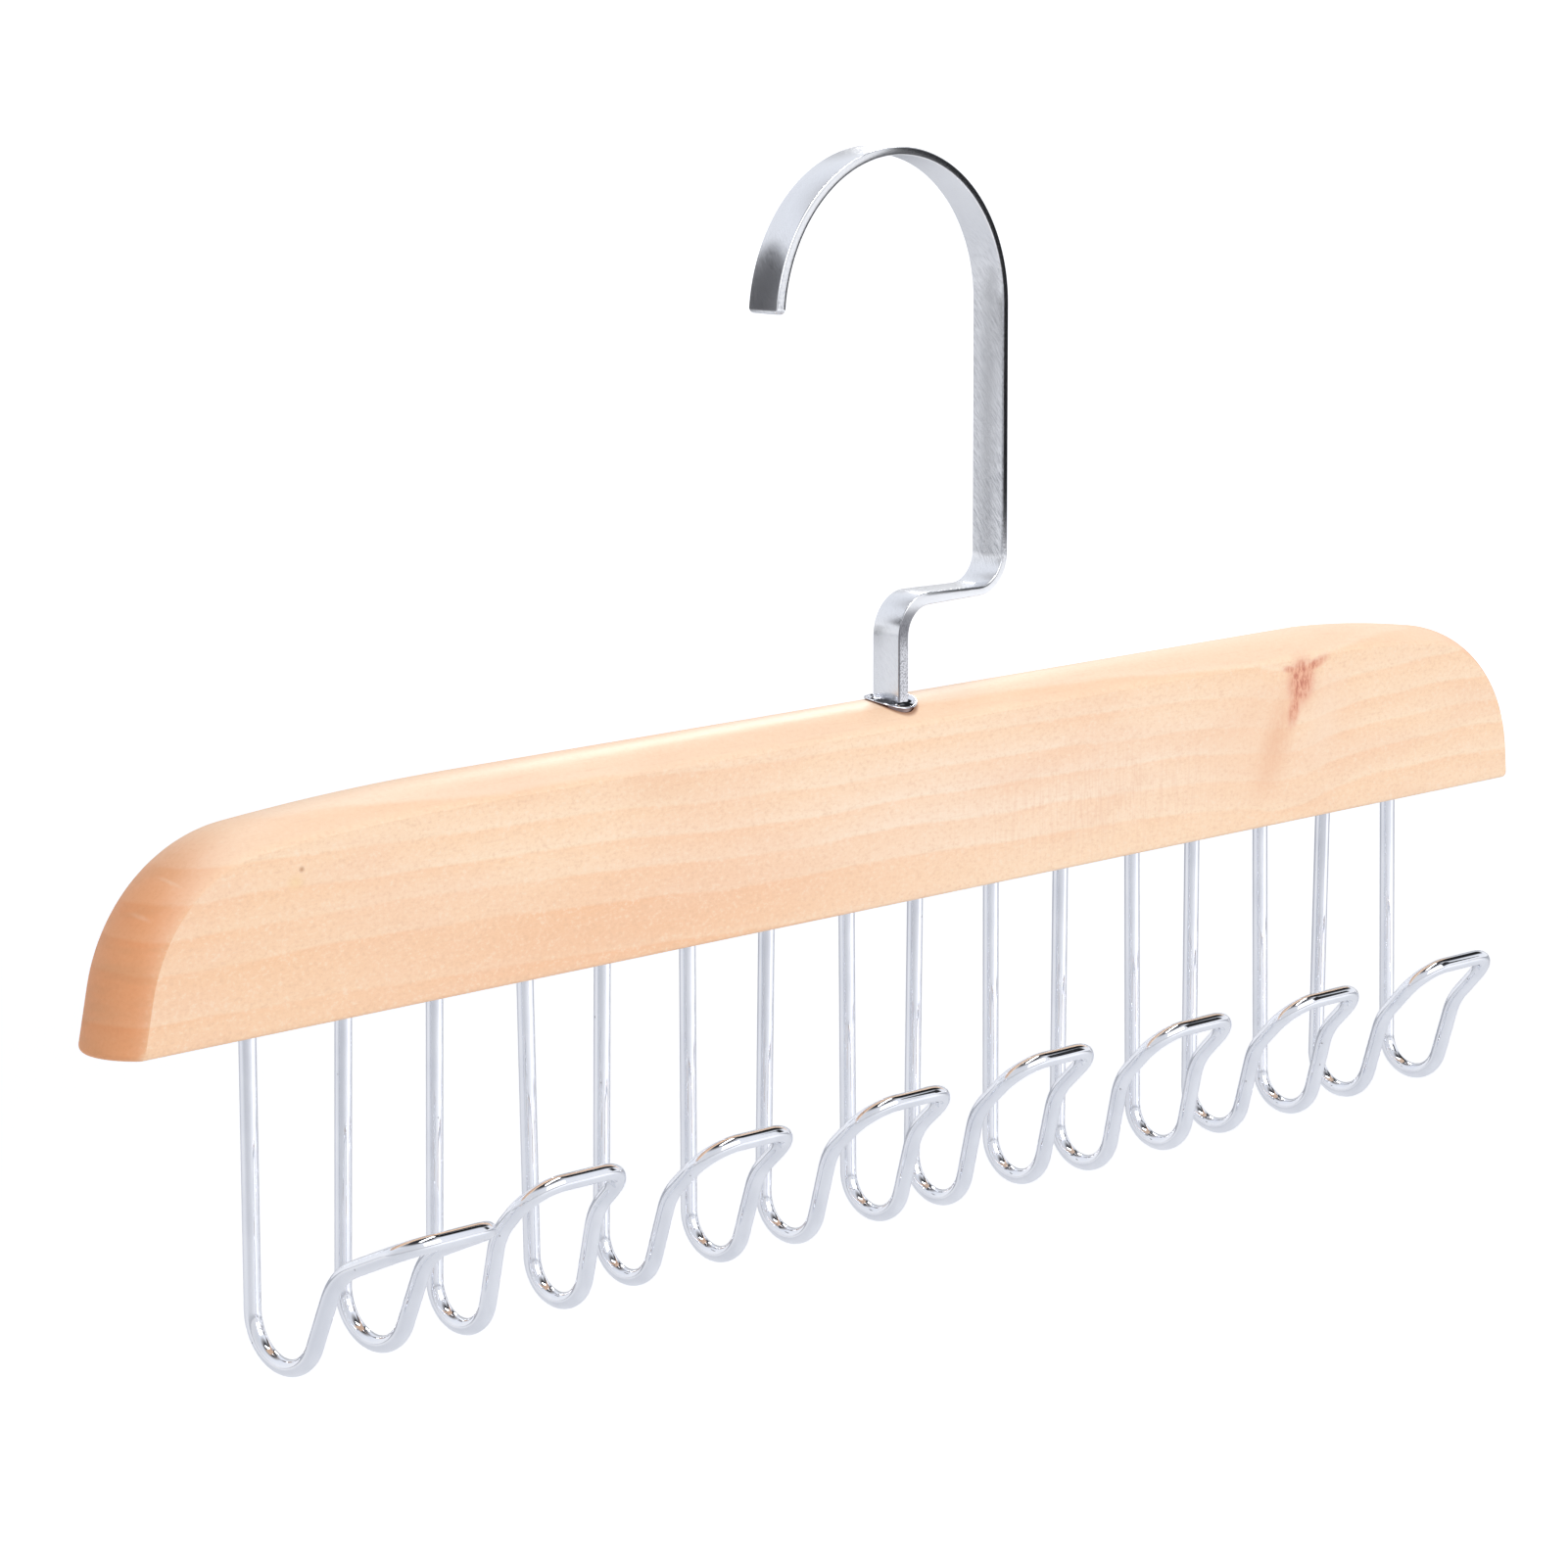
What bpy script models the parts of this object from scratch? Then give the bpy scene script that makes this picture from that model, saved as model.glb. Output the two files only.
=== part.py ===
"""Belt hanger: a crowned wooden bar on a swivelling flat hook, with a row of wire belt hooks below.

Run it with: blender --background --python part.py
Metres, +Z up. X runs along the bar, and the belt hooks open towards the front, -Y. The origin is
the rail's seat, the highest point of the bow's inner curve. The stem, the swivel's parts and the
bar are placed downwards from there.
"""
import math

import bmesh
import bpy
from mathutils import Vector

MM = 0.001
FULL_TURN = 2 * math.pi
RIGHT_ANGLE = math.pi / 2

# Fits
FIT_GAP = 0.3 * MM          # between two pieces that touch in the real hanger
CUT_OVERRUN = 1.0 * MM      # how far a cutter runs past the face that it opens

# Flat hook, a round rod that is flattened above its pin, most of all along its stem
TIP_WIDTH = 7.0 * MM
TIP_THICKNESS = 2.15 * MM
STEM_WIDTH = 7.3 * MM
STEM_THICKNESS = 1.5 * MM
NECK_WIDTH = 6.4 * MM       # below the crank
NECK_THICKNESS = 2.5 * MM
STRIP_EDGE_RADIUS = 0.3 * MM
BOW_RADIUS = 28.58 * MM     # to the middle of the strip
BOW_SWEEP = math.radians(174.5)
BOW_TO_CRANK = 51.37 * MM   # from the bow's centre down to the crank
CRANK_RADIUS = 6.5 * MM
STEM_OFFSET = 2.5 * MM      # swivel axis, right of the bow's centre
NECK_LENGTH = 16.99 * MM    # from the crank down to the ferrule's top
TIP_ROUNDING = 1.0 * MM     # corners of the bow's free end
TIP_THINNING = 0.6          # how far that end is thinned, as a share of the rounding

# Swivel pin below the strip, headed over a washer
STRIP_SINK = 2.9 * MM       # how far the flat strip goes down inside the ferrule
PIN_RADIUS = 2.0 * MM
PIN_TAPER = 3.4 * MM        # from the flat strip to the round pin
HEAD_RADIUS = 3.0 * MM
HEAD_HEIGHT = 1.8 * MM
WASHER_RADIUS = 3.3 * MM
WASHER_THICKNESS = 0.8 * MM
SLEEVE_WALL = 1.0 * MM
SLEEVE_LENGTH = 8.0 * MM

# Ferrule pressed into the bar's top, its rim pressed down to the crown's curve
FERRULE_RADIUS = 4.9 * MM
FERRULE_WALL = 0.4 * MM
FERRULE_RIM = 0.4 * MM      # thickness of the rim
FERRULE_DISH = 0.3 * MM     # how far the rim falls towards its hole

# Wooden bar, whose middle the swivel's axis misses
AXIS_RIGHT = 0.85 * MM      # swivel axis, right of the bar's middle
AXIS_FORWARD = 1.65 * MM    # swivel axis, in front of the bar's mid thickness
BAR_LENGTH = 349.6 * MM     # of the flat front face, along the underside
BAR_THICKNESS = 16.0 * MM
FACE_HEIGHT = 31.8 * MM     # of the flat front face at mid length
CROWN_HEIGHT = 4.3 * MM     # how far the crowned top and ends stand out past the flat faces
UNDERSIDE_ROUNDING = 1.0 * MM
LEFT_LEAN = math.radians(12.25)
LEFT_STRAIGHT = 9.5 * MM    # straight lower part of the end
LEFT_ARCH = 584.0 * MM      # radius of the slow arch that leads into the end
LEFT_ARCH_SWEEP = math.radians(4.75)
LEFT_CROWN_SHARE = 1.0      # of the crown's height, kept round the end
RIGHT_LEAN = math.radians(5.0)
RIGHT_STRAIGHT = 6.0 * MM
RIGHT_ARCH = 280.0 * MM
RIGHT_ARCH_SWEEP = math.radians(6.7)
RIGHT_CROWN_SHARE = 0.69
LEFT_END = (LEFT_LEAN, LEFT_STRAIGHT, LEFT_ARCH, LEFT_ARCH_SWEEP, LEFT_CROWN_SHARE)
RIGHT_END = (RIGHT_LEAN, RIGHT_STRAIGHT, RIGHT_ARCH, RIGHT_ARCH_SWEEP, RIGHT_CROWN_SHARE)

# Belt hooks, bent from wire
WIRE_RADIUS = 1.5 * MM
HOOK_PITCH = 39.0 * MM
LEG_GAP = 20.3 * MM         # between the middles of a hook's two legs at the bar
LEG_SEAT = 16.0 * MM        # how far a leg goes up into the bar
LEG_BORE_SPARE = 0.5 * MM   # depth of a leg's hole past the leg's end
ARM_LENGTH = 9.4 * MM       # straight part of the front arm, above the curl
NOSE_RADIUS = 11.7 * MM

# Each belt hook's own bends, from left to right: the first is pulled out and opened wider
LEG_DROP = 50.0 * MM        # from the bar down to the curl
CURL_RADIUS = 6.7 * MM
NOSE_LENGTH = 10.0 * MM     # from the nose's bend to the front of the bow
CORNER_RADIUS = 6.7 * MM
OUT_OF_PITCH = 1.0 * MM     # a leg hole's miss to one side
SWAY = 1.0 * MM             # lean of a whole hook to the right, at its curl
SPREAD = 1.0 * MM           # how much wider the arms stand at the curl than at the bar
PULL = 5.8 * MM             # how far the first hook's legs are drawn out of their holes
OUT_OF_PITCH_SHARES = (-0.8, 0.4, -0.3, 0.5, -0.3, 0.2, -1.0, -0.4)
SWAY_SHARES = (-0.6, 0, -0.4, -0.3, -0.3, 0.2, 0.5, 0.1)
SPREAD_SHARES = (-1.0, 1.8, 0.8, 1.4, 1.0, 1.2, 1.2, 2.2)
DROP_SHARES = (0.94, 0.998, 0.982, 0.988, 0.992, 1.008, 1.0, 0.992)
CURL_SHARES = (1.21, 1, 1, 1, 1, 1, 1, 1)
NOSE_SHARES = (1.48, 0.92, 1.08, 1.0, 1.1, 1.05, 1.01, 1.19)
CORNER_SHARES = (0.84, 1, 1, 1, 1, 1, 1, 1)
PULL_SHARES = (1, 0, 0, 0, 0, 0, 0, 0)
ARM_LEANS = [math.radians(lean) for lean in (23.2, 12.5, 17.6, 15.3, 13.1, 12.3, 15.1, 17.1)]
NOSE_LEANS = [math.radians(lean) for lean in (66.4, 44.0, 46.1, 46.9, 45.7, 43.8, 43.9, 42.6)]

# Places that follow from the sizes above
BAR_X = STEM_OFFSET - AXIS_RIGHT
BAR_Y = AXIS_FORWARD
BOW_CENTRE_Z = STEM_THICKNESS / 2 - BOW_RADIUS
CRANK_Z = BOW_CENTRE_Z - BOW_TO_CRANK
RIM_TOP_Z = CRANK_Z - NECK_LENGTH
BAR_TOP_Z = RIM_TOP_Z - FERRULE_RIM - FIT_GAP
UNDERSIDE_Z = BAR_TOP_Z - CROWN_HEIGHT - FACE_HEIGHT
CROWN_RADIUS = ((BAR_THICKNESS / 2) ** 2 + CROWN_HEIGHT ** 2) / (2 * CROWN_HEIGHT)
SLEEVE_RADIUS = PIN_RADIUS + FIT_GAP + SLEEVE_WALL
STRIP_PASS_RADIUS = math.hypot(NECK_WIDTH, NECK_THICKNESS) / 2 + FIT_GAP
FERRULE_TUBE_RADIUS = STRIP_PASS_RADIUS + FERRULE_WALL
STRIP_END_Z = RIM_TOP_Z - STRIP_SINK
FERRULE_END_Z = STRIP_END_Z - PIN_TAPER
SLEEVE_TOP_Z = FERRULE_END_Z - FIT_GAP
SLEEVE_END_Z = SLEEVE_TOP_Z - SLEEVE_LENGTH
WASHER_TOP_Z = SLEEVE_END_Z - FIT_GAP
WASHER_END_Z = WASHER_TOP_Z - WASHER_THICKNESS
HEAD_TOP_Z = WASHER_END_Z - FIT_GAP
HEAD_END_Z = HEAD_TOP_Z - HEAD_HEIGHT
SWIVEL_BORE_RADIUS = SLEEVE_RADIUS + FIT_GAP
SWIVEL_BORE_END_Z = HEAD_END_Z - FIT_GAP

# Fineness of the round forms
SECTION_POINTS = 16
TIP_STEPS = 4
BEND_STEPS = 8
BOW_STEPS = 48
CURL_STEPS = 12
NOSE_STEPS = 5
CORNER_STEPS = 8
END_STEPS = 14
ARCH_STEPS = 5
CROWN_STEPS = 10
TURNED_STEPS = 32
ROLL_STEPS = 4
BORE_STEPS = 16


def start_scene():
    """Empties the scene and makes one collection for the hanger and one for its cutters."""
    for old in list(bpy.data.objects):
        bpy.data.objects.remove(old, do_unlink=True)
    groups = []
    for name in ("belt_hanger", "cutters"):
        group = bpy.data.collections.new(name)
        bpy.context.scene.collection.children.link(group)
        groups.append(group)
    return groups


def finish_material(name, colour, roughness, metallic):
    material = bpy.data.materials.new(name)
    material.use_nodes = True
    shader = material.node_tree.nodes["Principled BSDF"]
    shader.inputs["Base Color"].default_value = (*colour, 1.0)
    shader.inputs["Roughness"].default_value = roughness
    shader.inputs["Metallic"].default_value = metallic
    return material


def add_object(name, data, group, material=None, parent=None, place=(0, 0, 0)):
    part = bpy.data.objects.new(name, data)
    part.location = place
    part.parent = parent
    if material:
        data.materials.append(material)
    group.objects.link(part)
    return part


def mesh_from(name, points, faces):
    mesh = bpy.data.meshes.new(name)
    mesh.from_pydata(points, [], faces)
    mesh.update()
    return mesh


def shade_round(mesh, sharp_angle=math.radians(40)):
    mesh.shade_smooth()
    mesh.set_sharp_from_angle(angle=sharp_angle)


def loft(name, rings):
    """Skins like-numbered rings of points, which run anticlockwise seen from the last ring."""
    count = len(rings[0])
    points = [point for ring in rings for point in ring]
    faces = []
    for row in range(len(rings) - 1):
        low, high = row * count, (row + 1) * count
        for i in range(count):
            j = (i + 1) % count
            faces.append((low + i, low + j, high + j, high + i))
    faces.append(tuple(reversed(range(count))))
    faces.append(tuple(range(len(points) - count, len(points))))
    return mesh_from(name, points, faces)


def turned(name, profile, group, material=None, parent=None, place=(0, 0, 0)):
    """Turns (radius, height) points, listed down the outer side, about Z.

    The profile is a loop, or it starts and ends on the axis.
    """
    edges = [(i, i + 1) for i in range(len(profile) - 1)]
    if profile[0][0]:
        edges.append((len(profile) - 1, 0))
    mesh = bpy.data.meshes.new(name)
    mesh.from_pydata([(radius, 0, height) for radius, height in profile], edges, [])
    part = add_object(name, mesh, group, material, parent, place)
    screw = part.modifiers.new("turn", "SCREW")
    screw.steps = TURNED_STEPS
    screw.render_steps = TURNED_STEPS
    screw.use_merge_vertices = True
    screw.merge_threshold = 0.00001
    screw.use_smooth_shade = True
    return part


def arc(centre, radius, start, end, steps):
    """Points on an arc in a plane, both ends included."""
    points = []
    for i in range(steps + 1):
        angle = start + (end - start) * i / steps
        points.append((centre[0] + radius * math.cos(angle), centre[1] + radius * math.sin(angle)))
    return points


class Track:
    """A flat path of straight runs and bends, as a wire bender lays it out.

    Each station is (across, up, heading, travelled). The heading is measured from +across
    towards +up, and a positive bend turns anticlockwise.
    """

    def __init__(self, across, up, heading):
        self.stations = [(across, up, heading, 0.0)]

    def run(self, length):
        across, up, heading, travelled = self.stations[-1]
        self.stations.append((across + length * math.cos(heading), up + length * math.sin(heading),
                              heading, travelled + length))

    def bend(self, radius, angle, steps):
        across, up, heading, travelled = self.stations[-1]
        side = math.copysign(RIGHT_ANGLE, angle)
        centre = (across + radius * math.cos(heading + side), up + radius * math.sin(heading + side))
        for i in range(1, steps + 1):
            turned_by = angle * i / steps
            outward = heading - side + turned_by
            self.stations.append((centre[0] + radius * math.cos(outward),
                                  centre[1] + radius * math.sin(outward),
                                  heading + turned_by, travelled + radius * abs(turned_by)))


def strip_section(width, thickness):
    """Rounded rectangle as (along the width, along the thickness), one arc for each corner."""
    arc_steps = SECTION_POINTS // 4 - 1
    ring = []
    for corner in range(4):
        start = corner * RIGHT_ANGLE
        middle = start + RIGHT_ANGLE / 2
        centre = (math.copysign(width / 2 - STRIP_EDGE_RADIUS, math.cos(middle)),
                  math.copysign(thickness / 2 - STRIP_EDGE_RADIUS, math.sin(middle)))
        ring += arc(centre, STRIP_EDGE_RADIUS, start, start + RIGHT_ANGLE, arc_steps)
    return ring


def ease(value, start, end):
    """Goes smoothly from 0 at the start to 1 at the end."""
    share = min(max((value - start) / (end - start), 0), 1)
    return share * share * (3 - 2 * share)


def strip_size(travelled):
    """Width and thickness of the strip at a distance from its tip."""
    bow_top = BOW_RADIUS * BOW_SWEEP / 2
    stem_end = BOW_RADIUS * BOW_SWEEP + BOW_TO_CRANK - CRANK_RADIUS
    neck_start = stem_end + CRANK_RADIUS * math.pi + BOW_RADIUS - STEM_OFFSET - 2 * CRANK_RADIUS
    to_stem = ease(travelled, 0, bow_top)
    to_neck = ease(travelled, stem_end, neck_start)
    width = TIP_WIDTH + (STEM_WIDTH - TIP_WIDTH) * to_stem + (NECK_WIDTH - STEM_WIDTH) * to_neck
    thickness = (TIP_THICKNESS + (STEM_THICKNESS - TIP_THICKNESS) * to_stem
                 + (NECK_THICKNESS - STEM_THICKNESS) * to_neck)
    return width, thickness


def round_section(radius):
    """Circle whose points match those of strip_section one to one."""
    step = FULL_TURN / SECTION_POINTS
    return arc((0, 0), radius, step / 2, FULL_TURN - step / 2, SECTION_POINTS - 1)


def place_section(section, station, offset):
    """Sets a flat section square across the hook's path, in the plane of the hook."""
    across, up, heading, _ = station
    normal = Vector((-math.sin(heading), 0, math.cos(heading)))
    middle = Vector((across + offset, 0, up))
    return [middle + Vector((0, side, 0)) + normal * depth for side, depth in section]


def hook_track():
    """Middle line of the flat hook, from the bow's tip round to the strip's lower end."""
    tip_angle = BOW_SWEEP
    track = Track(BOW_RADIUS * math.cos(tip_angle), BOW_CENTRE_Z + BOW_RADIUS * math.sin(tip_angle),
                  tip_angle - RIGHT_ANGLE)
    track.bend(BOW_RADIUS, -BOW_SWEEP, BOW_STEPS)
    track.run(BOW_TO_CRANK - CRANK_RADIUS)
    track.bend(CRANK_RADIUS, -RIGHT_ANGLE, BEND_STEPS)
    track.run(BOW_RADIUS - STEM_OFFSET - 2 * CRANK_RADIUS)
    track.bend(CRANK_RADIUS, RIGHT_ANGLE, BEND_STEPS)
    track.run(CRANK_Z - CRANK_RADIUS - STRIP_END_Z)
    return track.stations


def tip_rings(station, offset):
    """Rings that round the corners of the strip's free end."""
    across, up, heading, travelled = station
    rings = []
    for lead, rise in arc((0, 0), TIP_ROUNDING, math.pi, RIGHT_ANGLE, TIP_STEPS)[:-1]:
        drawn_in = TIP_ROUNDING - rise
        section = strip_section(TIP_WIDTH - 2 * drawn_in, TIP_THICKNESS - TIP_THINNING * drawn_in)
        back = (across + lead * math.cos(heading), up + lead * math.sin(heading), heading, travelled)
        rings.append(place_section(section, back, offset))
    return rings


def pin_rings():
    """Rings of the taper, the pin and its peened head, from the strip's end down."""
    down = -RIGHT_ANGLE
    head_side = HEAD_HEIGHT / 2
    profile = [(PIN_RADIUS, FERRULE_END_Z), (PIN_RADIUS, HEAD_TOP_Z), (HEAD_RADIUS, HEAD_TOP_Z)]
    for cosine, sine in arc((0, 0), 1, 0, RIGHT_ANGLE * 2 / 3, 3):
        profile.append((HEAD_RADIUS * cosine, HEAD_TOP_Z - head_side - head_side * sine))
    rings = []
    for radius, height in profile:
        rings.append(place_section(round_section(radius), (0, height, down, 0), 0))
    return rings


def build_flat_hook(group, swivel, material):
    """The bow, stem and crank in one strip, tapering to the round pin that the bar turns on."""
    offset = -STEM_OFFSET
    stations = hook_track()
    rings = tip_rings(stations[0], offset)
    for station in stations:
        rings.append(place_section(strip_section(*strip_size(station[3])), station, offset))
    rings += pin_rings()
    local_rings = [[point - Vector((0, 0, RIM_TOP_Z)) for point in ring] for ring in rings]
    mesh = loft("flat_hook", local_rings)
    shade_round(mesh)
    return add_object("flat_hook", mesh, group, material, swivel)


def build_washer(group, swivel, material):
    hole = PIN_RADIUS + FIT_GAP
    profile = [(hole, 0), (WASHER_RADIUS, 0), (WASHER_RADIUS, -WASHER_THICKNESS), (hole, -WASHER_THICKNESS)]
    place = (0, 0, WASHER_TOP_Z - RIM_TOP_Z)
    return turned("thrust_washer", profile, group, material, swivel, place)


def build_sleeve(group, bar_frame, material):
    """Plain sleeve, pressed into the bar, that the pin turns in."""
    hole = PIN_RADIUS + FIT_GAP
    chamfer = SLEEVE_WALL / 4
    profile = [(hole, 0), (SLEEVE_RADIUS - chamfer, 0), (SLEEVE_RADIUS, -chamfer),
               (SLEEVE_RADIUS, -SLEEVE_LENGTH), (hole, -SLEEVE_LENGTH)]
    place = (0, 0, SLEEVE_TOP_Z - RIM_TOP_Z)
    return turned("swivel_sleeve", profile, group, material, bar_frame, place)


def ferrule_profile():
    """Loop of (radius, height) down the outer side: the thin rim's roll and then the short tube."""
    roll = FERRULE_RIM / 2
    tube_end = FERRULE_END_Z - RIM_TOP_Z
    profile = [(STRIP_PASS_RADIUS, -FERRULE_DISH)]
    profile += arc((FERRULE_RADIUS - roll, -roll), roll, RIGHT_ANGLE, -RIGHT_ANGLE, ROLL_STEPS)
    profile += [(FERRULE_TUBE_RADIUS, -FERRULE_RIM), (FERRULE_TUBE_RADIUS, tube_end),
                (STRIP_PASS_RADIUS, tube_end)]
    return profile


def crown_fall(depth):
    """How far the crown has fallen at a distance in front of or behind its highest line."""
    return CROWN_RADIUS - math.sqrt(CROWN_RADIUS ** 2 - depth ** 2)


def build_ferrule(group, bar_frame, material):
    """Dished eyelet: a rim that follows the crown down at front and back, and a tube with a level end."""
    profile = ferrule_profile()
    tube_end = profile[-1][1]
    points = []
    for step in range(TURNED_STEPS):
        angle = FULL_TURN * step / TURNED_STEPS
        for radius, height in profile:
            depth = radius * math.sin(angle)
            fall = crown_fall(depth - BAR_Y) if height > tube_end else 0
            points.append((radius * math.cos(angle), depth, height - fall))
    count = len(profile)
    faces = []
    for step in range(TURNED_STEPS):
        near, far = step * count, (step + 1) % TURNED_STEPS * count
        for i in range(count):
            j = (i + 1) % count
            faces.append((near + i, near + j, far + j, far + i))
    mesh = mesh_from("ferrule", points, faces)
    shade_round(mesh)
    return add_object("ferrule", mesh, group, material, bar_frame)


def outline_above(outset, end):
    """Half of the bar's outline with one end's shape, set outwards, from the underside to the middle."""
    lean, straight, arch, arch_sweep, crown_share = end
    end_radius = ((FACE_HEIGHT - straight - arch * (1 - math.cos(arch_sweep)))
                  / (math.cos(arch_sweep) - math.sin(lean)))
    end_top = (BAR_LENGTH / 2 - straight * math.tan(lean), straight)
    end_centre = (end_top[0] - end_radius * math.cos(lean), end_top[1] - end_radius * math.sin(lean))
    shoulder = RIGHT_ANGLE - arch_sweep
    lead = end_radius - arch
    arch_centre = (end_centre[0] + lead * math.cos(shoulder), end_centre[1] + lead * math.sin(shoulder))
    points = [(BAR_LENGTH / 2 + outset * crown_share / math.cos(lean), 0)]
    points += arc(end_centre, end_radius + outset * crown_share, lean, shoulder, END_STEPS)
    for step in range(1, ARCH_STEPS + 1):
        angle = shoulder + arch_sweep * step / ARCH_STEPS
        share = crown_share + (1 - crown_share) * step / ARCH_STEPS
        reach = arch + outset * share
        points.append((arch_centre[0] + reach * math.cos(angle), arch_centre[1] + reach * math.sin(angle)))
    return points


def crown_sections():
    """(Y, outward offset) of the crown's ribs, from the front face's edge to the back face's."""
    reach = 2 * math.atan(CROWN_HEIGHT / (BAR_THICKNESS / 2))
    sections = []
    for i in range(CROWN_STEPS + 1):
        angle = reach * (2 * i / CROWN_STEPS - 1)
        depth = CROWN_RADIUS * math.sin(angle)
        sections.append((depth, CROWN_RADIUS * math.cos(angle) - CROWN_RADIUS + CROWN_HEIGHT))
    return sections


def bar_ring(depth, outset):
    """The whole outline at one depth through the bar, clockwise seen from the back."""
    left = [Vector((-across, depth, up)) for across, up in outline_above(outset, LEFT_END)]
    right = [Vector((across, depth, up)) for across, up in outline_above(outset, RIGHT_END)]
    return left + list(reversed(right))


def hook_centres():
    first = -(len(OUT_OF_PITCH_SHARES) - 1) / 2
    return [(first + i) * HOOK_PITCH + OUT_OF_PITCH * share for i, share in enumerate(OUT_OF_PITCH_SHARES)]


def cylinder_cutter(name, radius, low, high, place, cutters):
    mesh = bpy.data.meshes.new(name)
    shape = bmesh.new()
    bmesh.ops.create_cone(shape, cap_ends=True, segments=BORE_STEPS, radius1=radius, radius2=radius,
                          depth=high - low)
    bmesh.ops.translate(shape, verts=shape.verts, vec=(0, 0, (low + high) / 2))
    shape.to_mesh(mesh)
    shape.free()
    return as_cutter(add_object(name, mesh, cutters, place=place))


def as_cutter(cutter):
    cutter.hide_render = True
    cutter.display_type = "WIRE"
    return cutter


def cut(part, cutter):
    boolean = part.modifiers.new(cutter.name, "BOOLEAN")
    boolean.operation = "DIFFERENCE"
    boolean.solver = "EXACT"
    boolean.object = cutter


def swivel_bore(cutters):
    """Stepped bore from the bar's top, for the ferrule's tube and then the sleeve."""
    tube_seat = FERRULE_TUBE_RADIUS + FIT_GAP
    top = BAR_TOP_Z + CUT_OVERRUN
    profile = [(0, top), (tube_seat, top), (tube_seat, SLEEVE_TOP_Z),
               (SWIVEL_BORE_RADIUS, SLEEVE_TOP_Z), (SWIVEL_BORE_RADIUS, SWIVEL_BORE_END_Z),
               (0, SWIVEL_BORE_END_Z)]
    return as_cutter(turned("swivel_bore", profile, cutters, place=(STEM_OFFSET, 0, 0)))


def build_bar(group, cutters, bar_frame, material):
    """Bar with a flat front and back, crowned over its top and round both ends, then bored."""
    rings = [bar_ring(depth, outset) for depth, outset in crown_sections()]
    base = Vector((STEM_OFFSET - BAR_X, -BAR_Y, RIM_TOP_Z - UNDERSIDE_Z))
    mesh = loft("wooden_bar", [[point - base for point in ring] for ring in rings])
    shade_round(mesh, math.radians(20))
    bar = add_object("wooden_bar", mesh, group, material, bar_frame)
    rounding = bar.modifiers.new("underside_rounding", "BEVEL")
    rounding.width = UNDERSIDE_ROUNDING
    rounding.segments = 2
    rounding.limit_method = "ANGLE"
    rounding.angle_limit = math.radians(45)
    cut(bar, swivel_bore(cutters))
    bore_top = UNDERSIDE_Z + LEG_SEAT + LEG_BORE_SPARE
    for index, centre in enumerate(hook_centres(), start=1):
        for side, label in ((-1, "left"), (1, "right")):
            place = (BAR_X + centre + side * LEG_GAP / 2, BAR_Y, 0)
            name = f"leg_bore_{index}_{label}"
            cut(bar, cylinder_cutter(name, WIRE_RADIUS + FIT_GAP, UNDERSIDE_Z - CUT_OVERRUN,
                                     bore_top, place, cutters))
    return bar


def arm_points(hook):
    """One side of a belt hook as (half gap, Y, Z), from its end in the bar to the bow's middle.

    Seen from the side the wire drops, curls forward and up, leans, and leans again in the nose.
    Seen from the front, the two arms are joined by a bow with a corner bend at each side.
    """
    track = Track(0, 0, -RIGHT_ANGLE)
    track.run(LEG_DROP * DROP_SHARES[hook])
    track.bend(CURL_RADIUS * CURL_SHARES[hook], ARM_LEANS[hook] - math.pi, CURL_STEPS)
    track.run(ARM_LENGTH)
    track.bend(NOSE_RADIUS, NOSE_LEANS[hook] - ARM_LEANS[hook], NOSE_STEPS)
    narrow = LEG_GAP / 2
    wide = narrow + SPREAD * SPREAD_SHARES[hook] / 2
    points = [(narrow, 0, LEG_SEAT - PULL * PULL_SHARES[hook]), (narrow, 0, 0)]
    points += [(wide, across, up) for across, up, _, _ in track.stations[1:]]
    across, up, heading, _ = track.stations[-1]
    corner = CORNER_RADIUS * CORNER_SHARES[hook]
    centre = (wide - corner, NOSE_LENGTH * NOSE_SHARES[hook] - corner)
    for out, ahead in arc(centre, corner, 0, RIGHT_ANGLE, CORNER_STEPS):
        points.append((out, across + ahead * math.cos(heading), up + ahead * math.sin(heading)))
    return points


def wire_path(hook):
    """The whole wire: both arms, swayed to one side below the bar."""
    right = arm_points(hook)
    path = right + [(-out, across, up) for out, across, up in reversed(right)]
    swayed = []
    for out, across, up in path:
        depth_share = min(max(-up / (LEG_DROP * DROP_SHARES[hook]), 0), 1)
        swayed.append((out + SWAY * SWAY_SHARES[hook] * depth_share, across, up))
    return swayed


def build_belt_hook(hook, centre, group, bar_frame, material):
    name = f"belt_hook_{hook + 1}"
    curve = bpy.data.curves.new(name, "CURVE")
    curve.dimensions = "3D"
    curve.bevel_depth = WIRE_RADIUS
    curve.bevel_resolution = 2
    curve.use_fill_caps = True
    path = wire_path(hook)
    spline = curve.splines.new("POLY")
    spline.points.add(len(path) - 1)
    for point, place in zip(spline.points, path):
        point.co = (*place, 1)
    place = (BAR_X + centre - STEM_OFFSET, BAR_Y, UNDERSIDE_Z - RIM_TOP_Z)
    return add_object(name, curve, group, material, bar_frame, place)


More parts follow.
